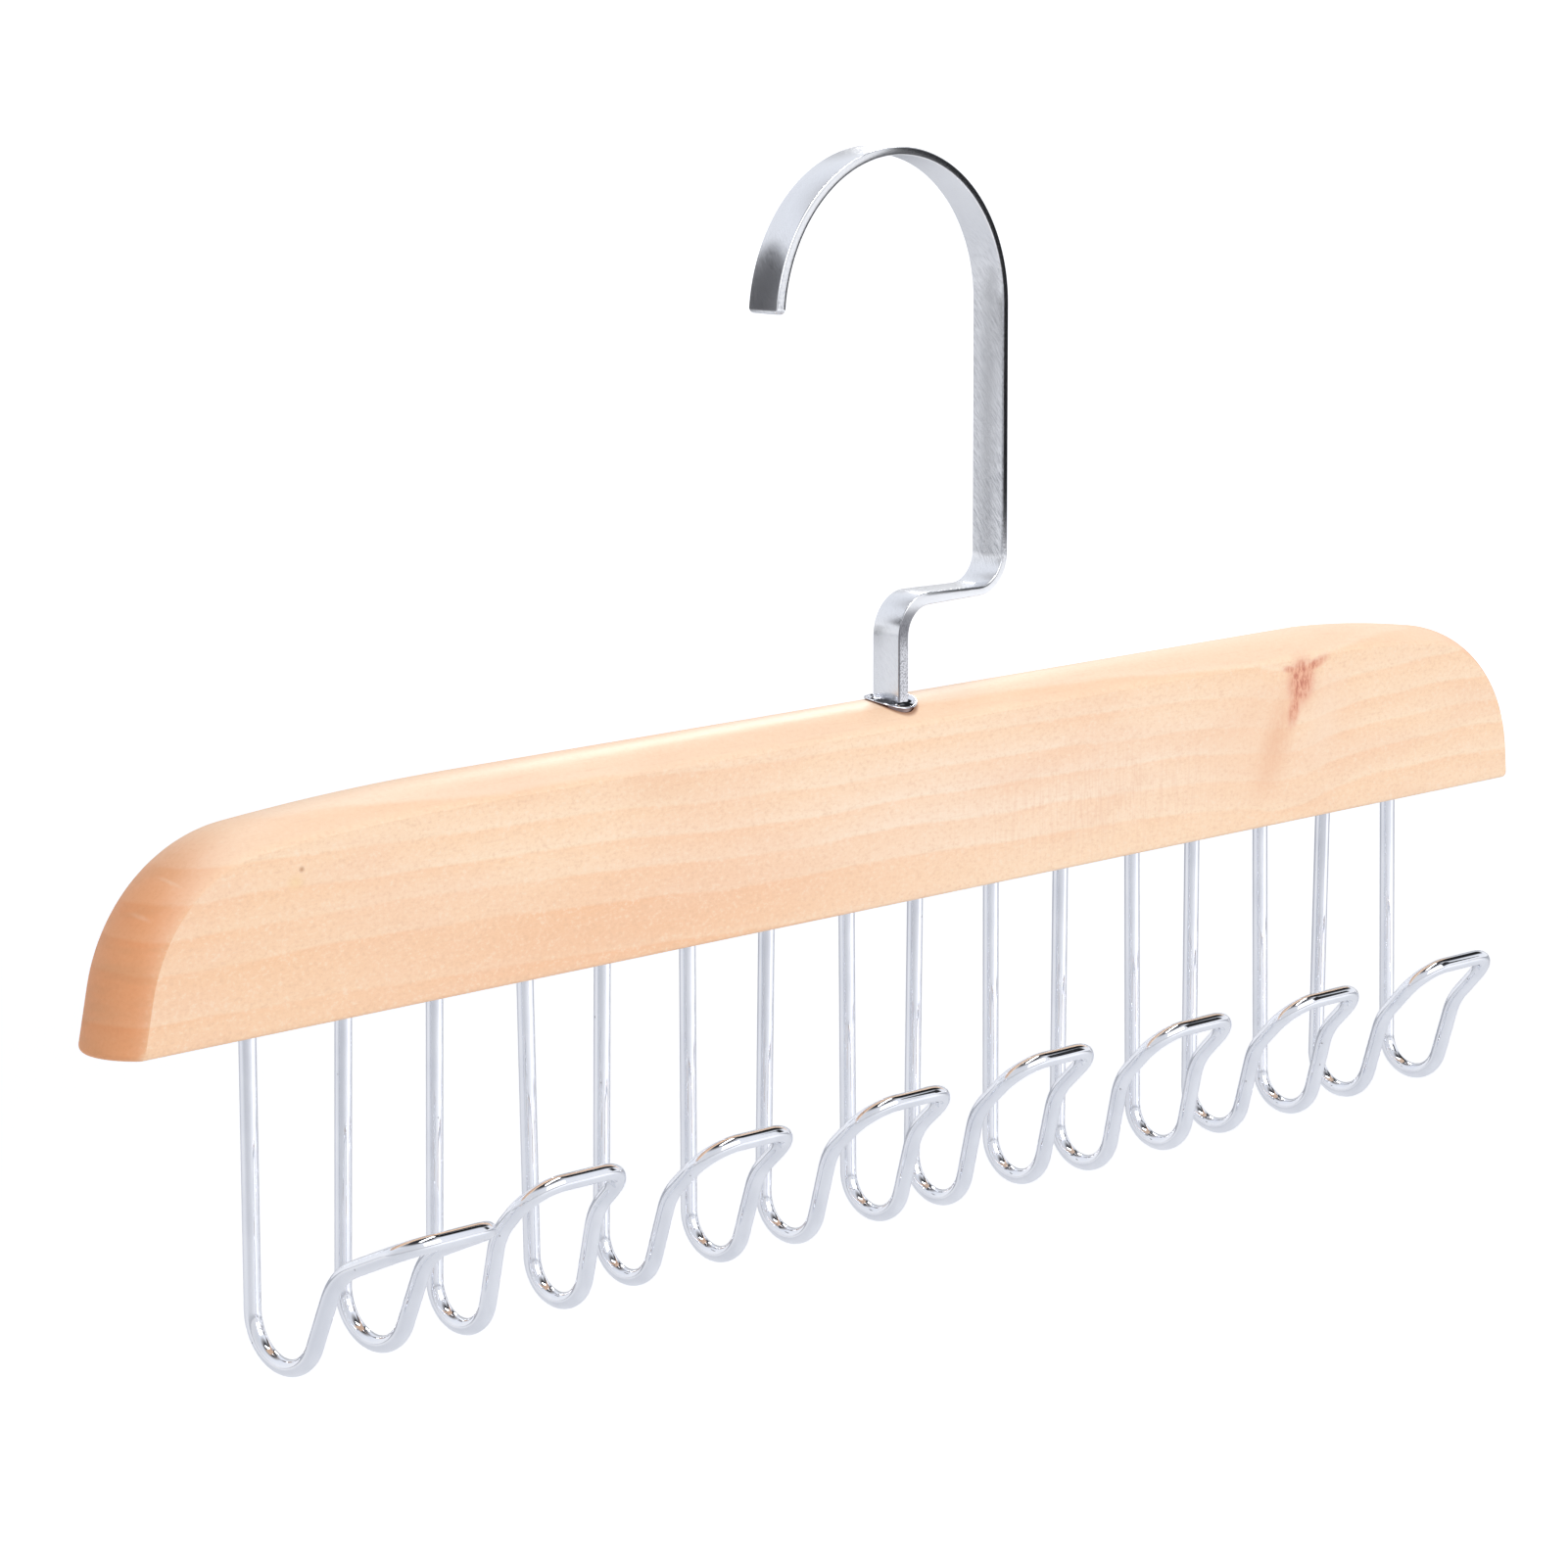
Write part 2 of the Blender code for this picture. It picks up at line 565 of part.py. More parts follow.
def build_hanger():
    group, cutters = start_scene()
    maple = finish_material("maple", (0.86, 0.60, 0.40), 0.45, 0.0)
    satin_nickel = finish_material("satin_nickel", (0.72, 0.73, 0.74), 0.22, 1.0)
    chrome = finish_material("chrome", (0.86, 0.87, 0.89), 0.08, 1.0)
    steel = finish_material("plain_steel", (0.55, 0.55, 0.56), 0.35, 1.0)

    swivel = add_object("hook_frame", None, group, place=(STEM_OFFSET, 0, RIM_TOP_Z))
    bar_frame = add_object("bar_frame", None, group, place=(STEM_OFFSET, 0, RIM_TOP_Z))
    build_flat_hook(group, swivel, satin_nickel)
    build_washer(group, swivel, steel)
    build_sleeve(group, bar_frame, steel)
    build_ferrule(group, bar_frame, chrome)
    build_bar(group, cutters, bar_frame, maple)
    for hook, centre in enumerate(hook_centres()):
        build_belt_hook(hook, centre, group, bar_frame, chrome)


build_hanger()
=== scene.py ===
import math

import bmesh
import bpy
from mathutils import Matrix, Vector


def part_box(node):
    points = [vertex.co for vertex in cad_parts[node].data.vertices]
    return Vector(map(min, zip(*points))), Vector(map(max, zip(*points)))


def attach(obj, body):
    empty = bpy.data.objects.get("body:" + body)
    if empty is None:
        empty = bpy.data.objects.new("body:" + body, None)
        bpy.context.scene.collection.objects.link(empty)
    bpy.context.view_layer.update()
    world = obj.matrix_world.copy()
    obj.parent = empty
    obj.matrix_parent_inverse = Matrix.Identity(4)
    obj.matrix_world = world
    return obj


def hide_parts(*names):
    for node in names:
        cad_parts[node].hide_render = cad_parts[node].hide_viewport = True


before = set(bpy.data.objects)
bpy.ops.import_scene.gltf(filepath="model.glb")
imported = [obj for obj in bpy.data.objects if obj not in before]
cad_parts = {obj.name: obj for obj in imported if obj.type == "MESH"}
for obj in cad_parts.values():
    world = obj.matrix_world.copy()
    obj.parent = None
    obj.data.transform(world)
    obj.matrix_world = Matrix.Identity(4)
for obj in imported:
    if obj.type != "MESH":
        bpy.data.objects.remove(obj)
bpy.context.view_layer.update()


# Wooden bar
# One length of pale maple, planed flat on its front and back and crowned over its top and both ends.
# It is bored on top for the swivel and below for the wire legs, then sanded and thinly varnished.
MM = 0.001
RIGHT_ANGLE = math.pi / 2

BAR_LENGTH = 349.6 * MM
BAR_THICKNESS = 16.0 * MM
FACE_HEIGHT = 31.8 * MM
CROWN_HEIGHT = 4.3 * MM
# Each end's lean, straight part, arch radius, arch sweep, and share of the crown kept round the end
LEFT_END = (math.radians(12.25), 9.5 * MM, 584.0 * MM, math.radians(4.75), 1.0)
RIGHT_END = (math.radians(5.0), 6.0 * MM, 280.0 * MM, math.radians(6.7), 0.69)
LOWER_ROUNDING = 1.0 * MM
ARRIS_INSET = 0.12 * MM      # the arris is broken by a stroke or two of the sanding block
ARRIS_DROP = 0.10 * MM
FACE_BORDER = 0.5 * MM
BAR_PLACE = Vector((1.65 * MM, 1.65 * MM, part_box("wooden_bar")[0].z))
BAR_HEIGHT = FACE_HEIGHT + CROWN_HEIGHT

STEM_OFFSET = 2.5 * MM
FERRULE_BORE_RADIUS = 4.3 * MM
FERRULE_BORE_DEPTH = 5.9 * MM
SWIVEL_BORE_RADIUS = 3.6 * MM
SWIVEL_BORE_DEPTH = 17.4 * MM
LEG_HOLE_RADIUS = 1.8 * MM
LEG_HOLE_DEPTH = 16.5 * MM
LEG_GAP = 20.3 * MM
HOOK_PITCH = 39.0 * MM
SIDE_STEPS = [step * MM for step in (-0.8, 0.4, -0.3, 0.5, -0.3, 0.2, -1.0, -0.4)]
ROW_MIDDLE = (len(SIDE_STEPS) - 1) / 2
HOOK_CENTRES = [(place - ROW_MIDDLE) * HOOK_PITCH + step for place, step in enumerate(SIDE_STEPS)]

END_STEPS = 36
ARCH_STEPS = 18
CROWN_STEPS = 28
CORNER_STEPS = 8
BORE_SIDES = 40


def arc(centre, radius, start, end, steps):
    """Points on an arc in a plane, both ends included."""
    points = []
    for i in range(steps + 1):
        angle = start + (end - start) * i / steps
        points.append((centre[0] + radius * math.cos(angle), centre[1] + radius * math.sin(angle)))
    return points


def half_outline(outset, foot, end):
    """Half of the bar's outline, from one end's lower corner at height foot up to the middle of the top."""
    lean, straight, arch, arch_sweep, crown_share = end
    kept = outset * crown_share if outset > 0 else outset
    end_radius = ((FACE_HEIGHT - straight - arch * (1 - math.cos(arch_sweep)))
                  / (math.cos(arch_sweep) - math.sin(lean)))
    end_top = Vector((BAR_LENGTH / 2 - straight * math.tan(lean), straight))
    end_centre = end_top - end_radius * Vector((math.cos(lean), math.sin(lean)))
    shoulder = RIGHT_ANGLE - arch_sweep
    arch_centre = end_centre + (end_radius - arch) * Vector((math.cos(shoulder), math.sin(shoulder)))
    round_z = foot + LOWER_ROUNDING
    round_x = (BAR_LENGTH / 2 + kept / math.cos(lean) - round_z * math.tan(lean)
               - LOWER_ROUNDING / math.cos(lean))
    points = arc((round_x, round_z), LOWER_ROUNDING, -RIGHT_ANGLE, lean, CORNER_STEPS)
    points += arc(end_centre, end_radius + kept, lean, shoulder, END_STEPS)
    for step in range(1, ARCH_STEPS + 1):
        angle = shoulder + arch_sweep * step / ARCH_STEPS
        reach = arch + kept + (outset - kept) * step / ARCH_STEPS
        points.append((arch_centre.x + reach * math.cos(angle), arch_centre.y + reach * math.sin(angle)))
    return points


CROWN_RADIUS = ((BAR_THICKNESS / 2) ** 2 + CROWN_HEIGHT ** 2) / (2 * CROWN_HEIGHT)


def bar_ribs():
    """(Y, outset, height of the foot) of each rib, from the front face over the crown to the back face."""
    half = BAR_THICKNESS / 2
    reach = 2 * math.atan(CROWN_HEIGHT / half)
    ribs = [(-half, -FACE_BORDER), (-half, -ARRIS_INSET)]
    for i in range(CROWN_STEPS + 1):
        angle = reach * (2 * i / CROWN_STEPS - 1)
        depth = CROWN_RADIUS * math.sin(angle)
        outset = CROWN_RADIUS * math.cos(angle) - CROWN_RADIUS + CROWN_HEIGHT
        if i in (0, CROWN_STEPS):
            depth -= math.copysign(ARRIS_DROP, depth)
            outset += ARRIS_DROP / 3
        ribs.append((depth, outset))
    ribs += [(half, -ARRIS_INSET), (half, -FACE_BORDER)]
    footed = []
    for depth, outset in ribs:
        past = max(abs(depth) - (half - LOWER_ROUNDING), 0)
        foot = LOWER_ROUNDING - math.sqrt(max(LOWER_ROUNDING ** 2 - past ** 2, 0))
        footed.append((depth, outset, foot - min(outset, 0)))
    return footed


def skin(name, rings, capped=True):
    """Mesh through like-numbered rings of points."""
    count = len(rings[0])
    points = [point for ring in rings for point in ring]
    faces = []
    for row in range(len(rings) - 1):
        low, high = row * count, (row + 1) * count
        for i in range(count):
            j = (i + 1) % count
            faces.append((low + i, low + j, high + j, high + i))
    if capped:
        faces.append(tuple(reversed(range(count))))
        faces.append(tuple(range(len(points) - count, len(points))))
    mesh = bpy.data.meshes.new(name)
    mesh.from_pydata(points, [], faces)
    shape = bmesh.new()
    shape.from_mesh(mesh)
    bmesh.ops.recalc_face_normals(shape, faces=shape.faces)
    shape.to_mesh(mesh)
    shape.free()
    return mesh


def place_piece(name, mesh, material, sharp=math.radians(30)):
    mesh.shade_smooth()
    mesh.set_sharp_from_angle(angle=sharp)
    mesh.materials.append(material)
    piece = bpy.data.objects.new(name, mesh)
    bpy.context.scene.collection.objects.link(piece)
    return piece


def put(tree, kind, inputs=None, output=0, **settings):
    """Adds a shader node, sets it up, and gives back the socket asked for."""
    node = tree.nodes.new("ShaderNode" + kind)
    for key, value in settings.items():
        setattr(node, key, value)
    for key, value in (inputs or {}).items():
        if isinstance(value, bpy.types.NodeSocket):
            tree.links.new(value, node.inputs[key])
        else:
            node.inputs[key].default_value = value
    return node.outputs[output]


def sum_up(tree, operation, first, second=0.0, third=0.0):
    return put(tree, "Math", {0: first, 1: second, 2: third}, operation=operation)


def share_of(tree, mask, share):
    """A mask times a share, which is a number or another mask."""
    return sum_up(tree, "MULTIPLY", mask, share)


def vectors(tree, operation, first, second=(0, 0, 0)):
    return put(tree, "VectorMath", {0: first, 1: second}, operation=operation)


def measure(tree, operation, first, second=(0, 0, 0)):
    """A length or a dot product, as one value."""
    return put(tree, "VectorMath", {0: first, 1: second}, output="Value", operation=operation)


def fade(tree, value, start, end, low=0.0, high=1.0):
    """Goes smoothly from low at the start to high at the end."""
    return put(tree, "MapRange", {0: value, 1: start, 2: end, 3: low, 4: high},
               interpolation_type="SMOOTHSTEP")


def blend_colour(tree, share, first, second, how="MIX"):
    return put(tree, "Mix", {0: share, 6: first, 7: second}, output=2, data_type="RGBA", blend_type=how)


def stain(tree, colour, mask, strength, stain_colour):
    """Blends another colour in where the mask is 1, up to the given strength."""
    return blend_colour(tree, share_of(tree, mask, strength), colour, stain_colour)


def in_millimetres(tree, stretch=(1, 1, 1), shift=(0, 0, 0)):
    """Places on the piece in millimetres, divided by a stretch along each axis."""
    own = put(tree, "TexCoord", output="Object")
    scale = tuple(1 / (MM * share) for share in stretch)
    return put(tree, "VectorMath", {0: own, 1: scale, 2: shift}, operation="MULTIPLY_ADD")


def grain_noise(tree, places, scale=1.0, detail=2.0, roughness=0.5):
    return put(tree, "TexNoise", {"Vector": places, "Scale": scale, "Detail": detail,
                                  "Roughness": roughness})


def spot(tree, centre, radii, turn=0):
    """1 at the middle of an oval on the front face (X and height in mm, turn in degrees), 0 at its rim."""
    own = put(tree, "TexCoord", output="Object")
    moved = vectors(tree, "ADD", own, (-centre[0] * MM, BAR_THICKNESS / 2, -centre[1] * MM))
    turned = put(tree, "VectorRotate", {"Vector": moved, "Axis": (0, 1, 0), "Angle": math.radians(turn)})
    scaled = vectors(tree, "MULTIPLY", turned, tuple(1 / (MM * radius) for radius in radii))
    return fade(tree, measure(tree, "LENGTH", scaled), 1.0, 0.0)


def below_face(tree, depth, start, end, low=0.0, high=1.0):
    """Goes from low to high between two depths in mm below the bar's flat faces."""
    face = BAR_THICKNESS / 2
    return fade(tree, depth, face - start * MM, face - end * MM, low, high)


# How far the growth rings stand above their height at mid length, by X from the bar's middle, and the
# heights there of the pale line that ends each year's ring, all in mm
GRAIN_RUN = [(-180, 5.6), (-130, 4.4), (-97, 3.5), (-66, 2.4), (-42, 0.7), (0, 0.0), (48, -1.1),
             (72, -2.0), (95, -3.7), (106, -5.0), (118, -3.4), (138, -2.1), (180, -2.4)]
RUN_REACH = 180
RISE_REACH = 6
RING_LINES = [0.2, 8.4, 13.7, 18.8, 24.0, 29.6, 35.4]
LOWEST_RING = -6
RING_SPAN = 48
# Depth of tone across each year's ring, by mm above its pale line
RING_TONES = [(-1.9, 0.66), (-0.4, 0.86), (0.1, 0.12), (1.2, 0.38)]


def ring_height(tree, across, height):
    """Height in mm of the growth ring that passes here, as it lies at mid length."""
    curve = tree.nodes.new("ShaderNodeFloatCurve")
    run = curve.mapping.curves[0]
    places = [((x / RUN_REACH + 1) / 2, (rise / RISE_REACH + 1) / 2) for x, rise in GRAIN_RUN]
    run.points[0].location = places[0]
    run.points[1].location = places[-1]
    for place in places[1:-1]:
        run.points.new(*place)
    curve.mapping.update()
    along = sum_up(tree, "MULTIPLY_ADD", across, 1 / (2 * RUN_REACH * MM), 0.5)
    tree.links.new(along, curve.inputs["Value"])
    level = sum_up(tree, "MULTIPLY_ADD", height, 1 / MM, RISE_REACH)
    return sum_up(tree, "MULTIPLY_ADD", curve.outputs[0], -2 * RISE_REACH, level)


def ring_depth(tree, ring):
    """0 on the pale line of a ring, 1 on the dark side just below it, and in between elsewhere."""
    ramp = tree.nodes.new("ShaderNodeValToRGB")
    stops = [(line + above, tone) for line in RING_LINES for above, tone in RING_TONES]
    while len(ramp.color_ramp.elements) < len(stops):
        ramp.color_ramp.elements.new(0.5)
    for stop, (at, tone) in zip(ramp.color_ramp.elements, stops):
        stop.position = (at - LOWEST_RING) / RING_SPAN
        stop.color = (tone, tone, tone, 1)
    place = sum_up(tree, "MULTIPLY_ADD", ring, 1 / RING_SPAN, -LOWEST_RING / RING_SPAN)
    tree.links.new(place, ramp.inputs[0])
    return ramp.outputs[0]


RING_WANDER = 2.6
NO_TINT = (1, 1, 1, 1)
PALE_RING = (1.010, 1.070, 1.120, 1)
DARK_RING = (0.988, 0.900, 0.820, 1)


def ringed(tree, colour, across, height):
    """Lays the growth rings over a colour: nearly level, running out slowly, swerving at the knot."""
    wander = grain_noise(tree, in_millimetres(tree, (30, 22, 12)), detail=3.0)
    ring = sum_up(tree, "MULTIPLY_ADD", wander, RING_WANDER, ring_height(tree, across, height))
    ring = sum_up(tree, "SUBTRACT", ring, RING_WANDER / 2)
    tint = blend_colour(tree, ring_depth(tree, ring), PALE_RING, DARK_RING)
    clearness = grain_noise(tree, in_millimetres(tree, (32, 14, 6), (2, 9, 4)))
    tint = blend_colour(tree, fade(tree, clearness, 0.36, 0.64, 0.55, 1.05), NO_TINT, tint)
    return blend_colour(tree, 1.0, colour, tint, "MULTIPLY")


CUT_FIBRE = (0.800, 0.500, 0.320, 1)
PALE_FIBRE = (0.965, 0.790, 0.630, 1)
LONG_FIBRE = (0.800, 0.480, 0.300, 1)
CURL_PLACE = ((52, 12), (66, 60, 15))
CURL_COLOUR = (0.840, 0.520, 0.345, 1)


def fibred(tree, colour, flecks, fibres, depth):
    """Speckles a colour with cut fibres, stronger on the flat faces, and adds upright ribs of curl."""
    on_face = below_face(tree, depth, 0.7, 0.01, 0.5, 1.0)
    colour = stain(tree, colour, fade(tree, flecks, 0.50, 0.70, 0, 0.40), on_face, CUT_FIBRE)
    colour = stain(tree, colour, fade(tree, flecks, 0.48, 0.30, 0, 0.45), on_face, PALE_FIBRE)
    ribs = grain_noise(tree, in_millimetres(tree, (0.55, 3, 5.5), (1, 4, 2)), detail=1.0)
    curl = fade(tree, ribs, 0.44, 0.68, 0, 0.34)
    colour = stain(tree, colour, curl, spot(tree, *CURL_PLACE), CURL_COLOUR)
    return blend_colour(tree, fade(tree, fibres, 0.52, 0.80, 0, 0.22), colour, LONG_FIBRE)


# The knot and what belongs to it, as (centre, reach along the bar, into it and up it, turn in degrees)
KNOT = ((108.9, 27.4), (6.4, 11, 7.4), -10)
KNOT_BRANCHES = [((112.8, 30.2), (7.5, 9, 1.9), 16), ((105.8, 30.0), (4.2, 9, 1.4), -6),
                 ((107.0, 22.5), (3.0, 9, 6.5), -16)]
KNOT_COLOUR = (0.780, 0.350, 0.230, 1)
KNOT_CORE = (0.520, 0.150, 0.095, 1)
KNOT_STREAK = ((101.8, 17), (6.4, 30, 17), -25)
STREAK_COLOUR = (0.850, 0.485, 0.300, 1)
KNOT_SHADOW = ((93, 17), (24, 30, 22), -15)
SHADOW_STOPS_AT = ((116, 13), (13, 30, 26), -22)
SHADOW_COLOUR = (0.910, 0.590, 0.385, 1)
PALE_BESIDE_KNOT = ((116, 19), (8.0, 30, 14), -17)
PALE_COLOUR = (0.950, 0.715, 0.530, 1)


def knotted(tree, colour, ragged):
    """Adds the knot, its reddish branches, and the shadow of bent grain that falls from it."""
    rough_edge = fade(tree, ragged, 0.25, 0.65, 0.45, 1.0)
    colour = stain(tree, colour, spot(tree, *PALE_BESIDE_KNOT), 0.50, PALE_COLOUR)
    shadow = share_of(tree, spot(tree, *KNOT_SHADOW), 0.24)
    open_side = fade(tree, spot(tree, *SHADOW_STOPS_AT), 0.35, 0.05)
    colour = stain(tree, colour, shadow, open_side, SHADOW_COLOUR)
    streak = share_of(tree, spot(tree, *KNOT_STREAK), rough_edge)
    colour = stain(tree, colour, streak, 0.75, STREAK_COLOUR)
    knot = spot(tree, *KNOT)
    for branch in KNOT_BRANCHES:
        knot = sum_up(tree, "MAXIMUM", knot, share_of(tree, spot(tree, *branch), 0.75))
    colour = stain(tree, colour, fade(tree, knot, 0.0, 0.75), rough_edge, KNOT_COLOUR)
    core = share_of(tree, fade(tree, knot, 0.3, 0.9), fade(tree, ragged, 0.44, 0.66))
    return stain(tree, colour, core, 0.85, KNOT_CORE)


# The ends' deeper tone: end grain, together with painted shade for the less light that falls on them
END_GRAIN_AND_SHADE_TINT = (0.915, 0.605, 0.415, 1)
BAND_COLOUR = (0.620, 0.310, 0.150, 1)
SCUFFS = [((-171.3, 22.2), (1.7, 8.5, 0.8), -50), ((-166.1, 27.2), (2.2, 8.0, 0.7), -42)]
SCUFF_COLOUR = (0.940, 0.700, 0.500, 1)


def end_grained(tree, colour, depth, ragged):
    """Deepens the crowned ends, partly for their end grain, which drinks more varnish, and partly as
    painted shade, as they take less light than the faces; adds their bands and scuffs.
    """
    facing = put(tree, "SeparateXYZ", {0: put(tree, "TexCoord", output="Normal")}, output="X")
    end_on = fade(tree, put(tree, "Math", {0: facing}, operation="ABSOLUTE"), 0.10, 0.80)
    end_grain_and_shade = share_of(tree, end_on, below_face(tree, depth, 0.01, 0.07))
    colour = blend_colour(tree, end_grain_and_shade, colour, END_GRAIN_AND_SHADE_TINT, "MULTIPLY")
    bands = grain_noise(tree, in_millimetres(tree, (9, 9, 2.6), (5, 5, 0)), detail=2.0)
    bands = share_of(tree, fade(tree, bands, 0.45, 0.7), end_grain_and_shade)
    colour = stain(tree, colour, bands, 0.22, BAND_COLOUR)
    scuffs = 0.0
    for scuff in SCUFFS:
        scuffs = sum_up(tree, "MAXIMUM", scuffs, spot(tree, *scuff))
    return stain(tree, colour, scuffs, fade(tree, ragged, 0.3, 0.6, 0.3, 0.8), SCUFF_COLOUR)


# Painted shadow of the eyelet's rim: a brown ring on the wood just round the hole
RIM_SHADOW_COLOUR = (0.420, 0.200, 0.115, 1)
RIM_SHADOW_OUTER = 5.2 * MM
RIM_SHADOW_INNER = 4.5 * MM
RIM_SHADOW_LOW = 24 * MM
RIM_SHADOW_FULL = 28 * MM


def shaded_under_rim(tree, colour, own, height):
    """Paints the shadow of the eyelet's rim as a brown ring on the wood round the hole."""
    out = vectors(tree, "ADD", own, (BAR_PLACE.x - STEM_OFFSET, BAR_PLACE.y, 0))
    radius = measure(tree, "LENGTH", vectors(tree, "MULTIPLY", out, (1, 1, 0)))
    near_hole = fade(tree, radius, RIM_SHADOW_OUTER, RIM_SHADOW_INNER)
    rim_shadow = share_of(tree, near_hole, fade(tree, height, RIM_SHADOW_LOW, RIM_SHADOW_FULL))
    return stain(tree, colour, rim_shadow, 0.8, RIM_SHADOW_COLOUR)


BOARD_COLOUR = (0.965, 0.712, 0.496, 1)
BLUSH_COLOUR = (0.920, 0.620, 0.430, 1)
CROWN_COLOUR = (0.950, 0.680, 0.500, 1)
# As (centre, reach, strength, colour): a deeper patch low on the left half, a tan one under the crown, a
# paler and pinker one from the middle to the right, and a deeper one over the left end
WIDE_PATCHES = [((-70, 6), (115, 60, 16), 0.85, (0.905, 0.548, 0.335, 1)),
                ((-62, 29), (17, 30, 7), 0.45, (0.880, 0.580, 0.375, 1)),
                ((28, 17), (120, 60, 18), 0.60, (0.950, 0.750, 0.590, 1)),
                ((-170, 12), (85, 60, 32), 0.75, (0.925, 0.600, 0.375, 1))]
# A brown speck near the left end, and the yellow stain below it
SMALL_MARKS = [((-142.1, 26.1), (0.85, 3, 0.75), 0.7, (0.450, 0.200, 0.100, 1)),
               ((-143.4, 24.2), (2.4, 4, 1.8), 0.4, (0.900, 0.620, 0.290, 1))]


def make_maple():
    """Varnished maple: slow rings along the bar, fine fibre, and the marks that this board has."""
    material = bpy.data.materials.new("varnished_maple")
    material.use_nodes = True
    tree = material.node_tree
    board = tree.nodes["Principled BSDF"]
    own = put(tree, "TexCoord", output="Object")
    across = put(tree, "SeparateXYZ", {0: own}, output="X")
    depth = put(tree, "Math", {0: put(tree, "SeparateXYZ", {0: own}, output="Y")}, operation="ABSOLUTE")
    height = put(tree, "SeparateXYZ", {0: own}, output="Z")

    colour = BOARD_COLOUR
    for centre, reach, strength, patch in WIDE_PATCHES:
        colour = stain(tree, colour, spot(tree, centre, reach), strength, patch)
    blush = grain_noise(tree, in_millimetres(tree, (34, 14, 9), (7, 3, 1)), detail=3.0)
    colour = blend_colour(tree, fade(tree, blush, 0.45, 0.72, 0, 0.45), colour, BLUSH_COLOUR)
    colour = stain(tree, colour, below_face(tree, depth, 0.1, 1.2), 0.40, CROWN_COLOUR)
    colour = ringed(tree, colour, across, height)

    flecks = grain_noise(tree, in_millimetres(tree, (0.95, 0.6, 0.62)), detail=3.0, roughness=0.7)
    fibres = grain_noise(tree, in_millimetres(tree, (9.0, 0.5, 0.45), (2, 5, 3)), detail=2.0, roughness=0.6)
    ragged = grain_noise(tree, in_millimetres(tree, (1.0, 2.0, 2.0)), detail=4.0, roughness=0.75)
    colour = fibred(tree, colour, flecks, fibres, depth)
    colour = knotted(tree, colour, ragged)
    for centre, reach, strength, mark in SMALL_MARKS:
        colour = stain(tree, colour, spot(tree, centre, reach), strength, mark)
    colour = end_grained(tree, colour, depth, ragged)
    # Painted shadow of the eyelet's rim on the wood round the hole
    colour = shaded_under_rim(tree, colour, own, height)

    relief = sum_up(tree, "MULTIPLY_ADD", fibres, 0.5, flecks)
    bump = put(tree, "Bump", {"Strength": 0.12, "Distance": 0.10 * MM, "Height": relief})
    tree.links.new(colour, board.inputs["Base Color"])
    tree.links.new(sum_up(tree, "MULTIPLY_ADD", flecks, 0.16, 0.46), board.inputs["Roughness"])
    tree.links.new(bump, board.inputs["Normal"])
    board.inputs["Specular IOR Level"].default_value = 0.2
    tree.links.new(below_face(tree, depth, 0.05, 1.0, 0.08, 0.20), board.inputs["Coat Weight"])
    board.inputs["Coat Roughness"].default_value = 0.36
    return material


def drill(shape_name, radius, depth, x, y, from_top):
    """A drill's bit as a closed mesh, to be taken away from the bar."""
    spare = 1.0 * MM
    high = BAR_HEIGHT + spare if from_top else depth
    low = BAR_HEIGHT - depth if from_top else -spare
    rings = []
    for z in (low, high):
        rings.append([Vector((px, py, z)) for px, py in
                      arc((x, y), radius, 0, 2 * math.pi * (BORE_SIDES - 1) / BORE_SIDES, BORE_SIDES - 1)])
    bit = bpy.data.objects.new(shape_name, skin(shape_name, rings))
    bpy.context.scene.collection.objects.link(bit)
    return bit


def bored(blank, bits):
    """The blank's mesh with every bit taken away from it."""
    for bit in bits:
        cut = blank.modifiers.new(bit.name, "BOOLEAN")
        cut.operation = "DIFFERENCE"
        cut.solver = "EXACT"
        cut.object = bit
    done = bpy.data.meshes.new_from_object(blank.evaluated_get(bpy.context.evaluated_depsgraph_get()))
    for spent in [blank] + bits:
        bpy.data.objects.remove(spent, do_unlink=True)
    return done


def make_wooden_bar():
    rings = []
    for depth, outset, foot in bar_ribs():
        left = [Vector((-x, depth, z)) for x, z in half_outline(outset, foot, LEFT_END)]
        right = [Vector((x, depth, z)) for x, z in half_outline(outset, foot, RIGHT_END)]
        rings.append(right + left[::-1])
    blank = bpy.data.objects.new("bar_blank", skin("bar_blank", rings))
    bpy.context.scene.collection.objects.link(blank)
    swivel = (STEM_OFFSET - BAR_PLACE.x, -BAR_PLACE.y)
    bits = [drill("ferrule_bore", FERRULE_BORE_RADIUS, FERRULE_BORE_DEPTH, *swivel, True),
            drill("swivel_bore", SWIVEL_BORE_RADIUS, SWIVEL_BORE_DEPTH, *swivel, True)]
    for number, centre in enumerate(HOOK_CENTRES, start=1):
        for side in (-1, 1):
            bits.append(drill(f"leg_hole_{number}", LEG_HOLE_RADIUS, LEG_HOLE_DEPTH,
                              centre + side * LEG_GAP / 2, 0, False))
    bar = place_piece("maple_bar", bored(blank, bits), make_maple(), sharp=math.radians(14))
    bar.location = BAR_PLACE
    return bar


maple_bar = make_wooden_bar()
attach(maple_bar, "bar")
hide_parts("wooden_bar")


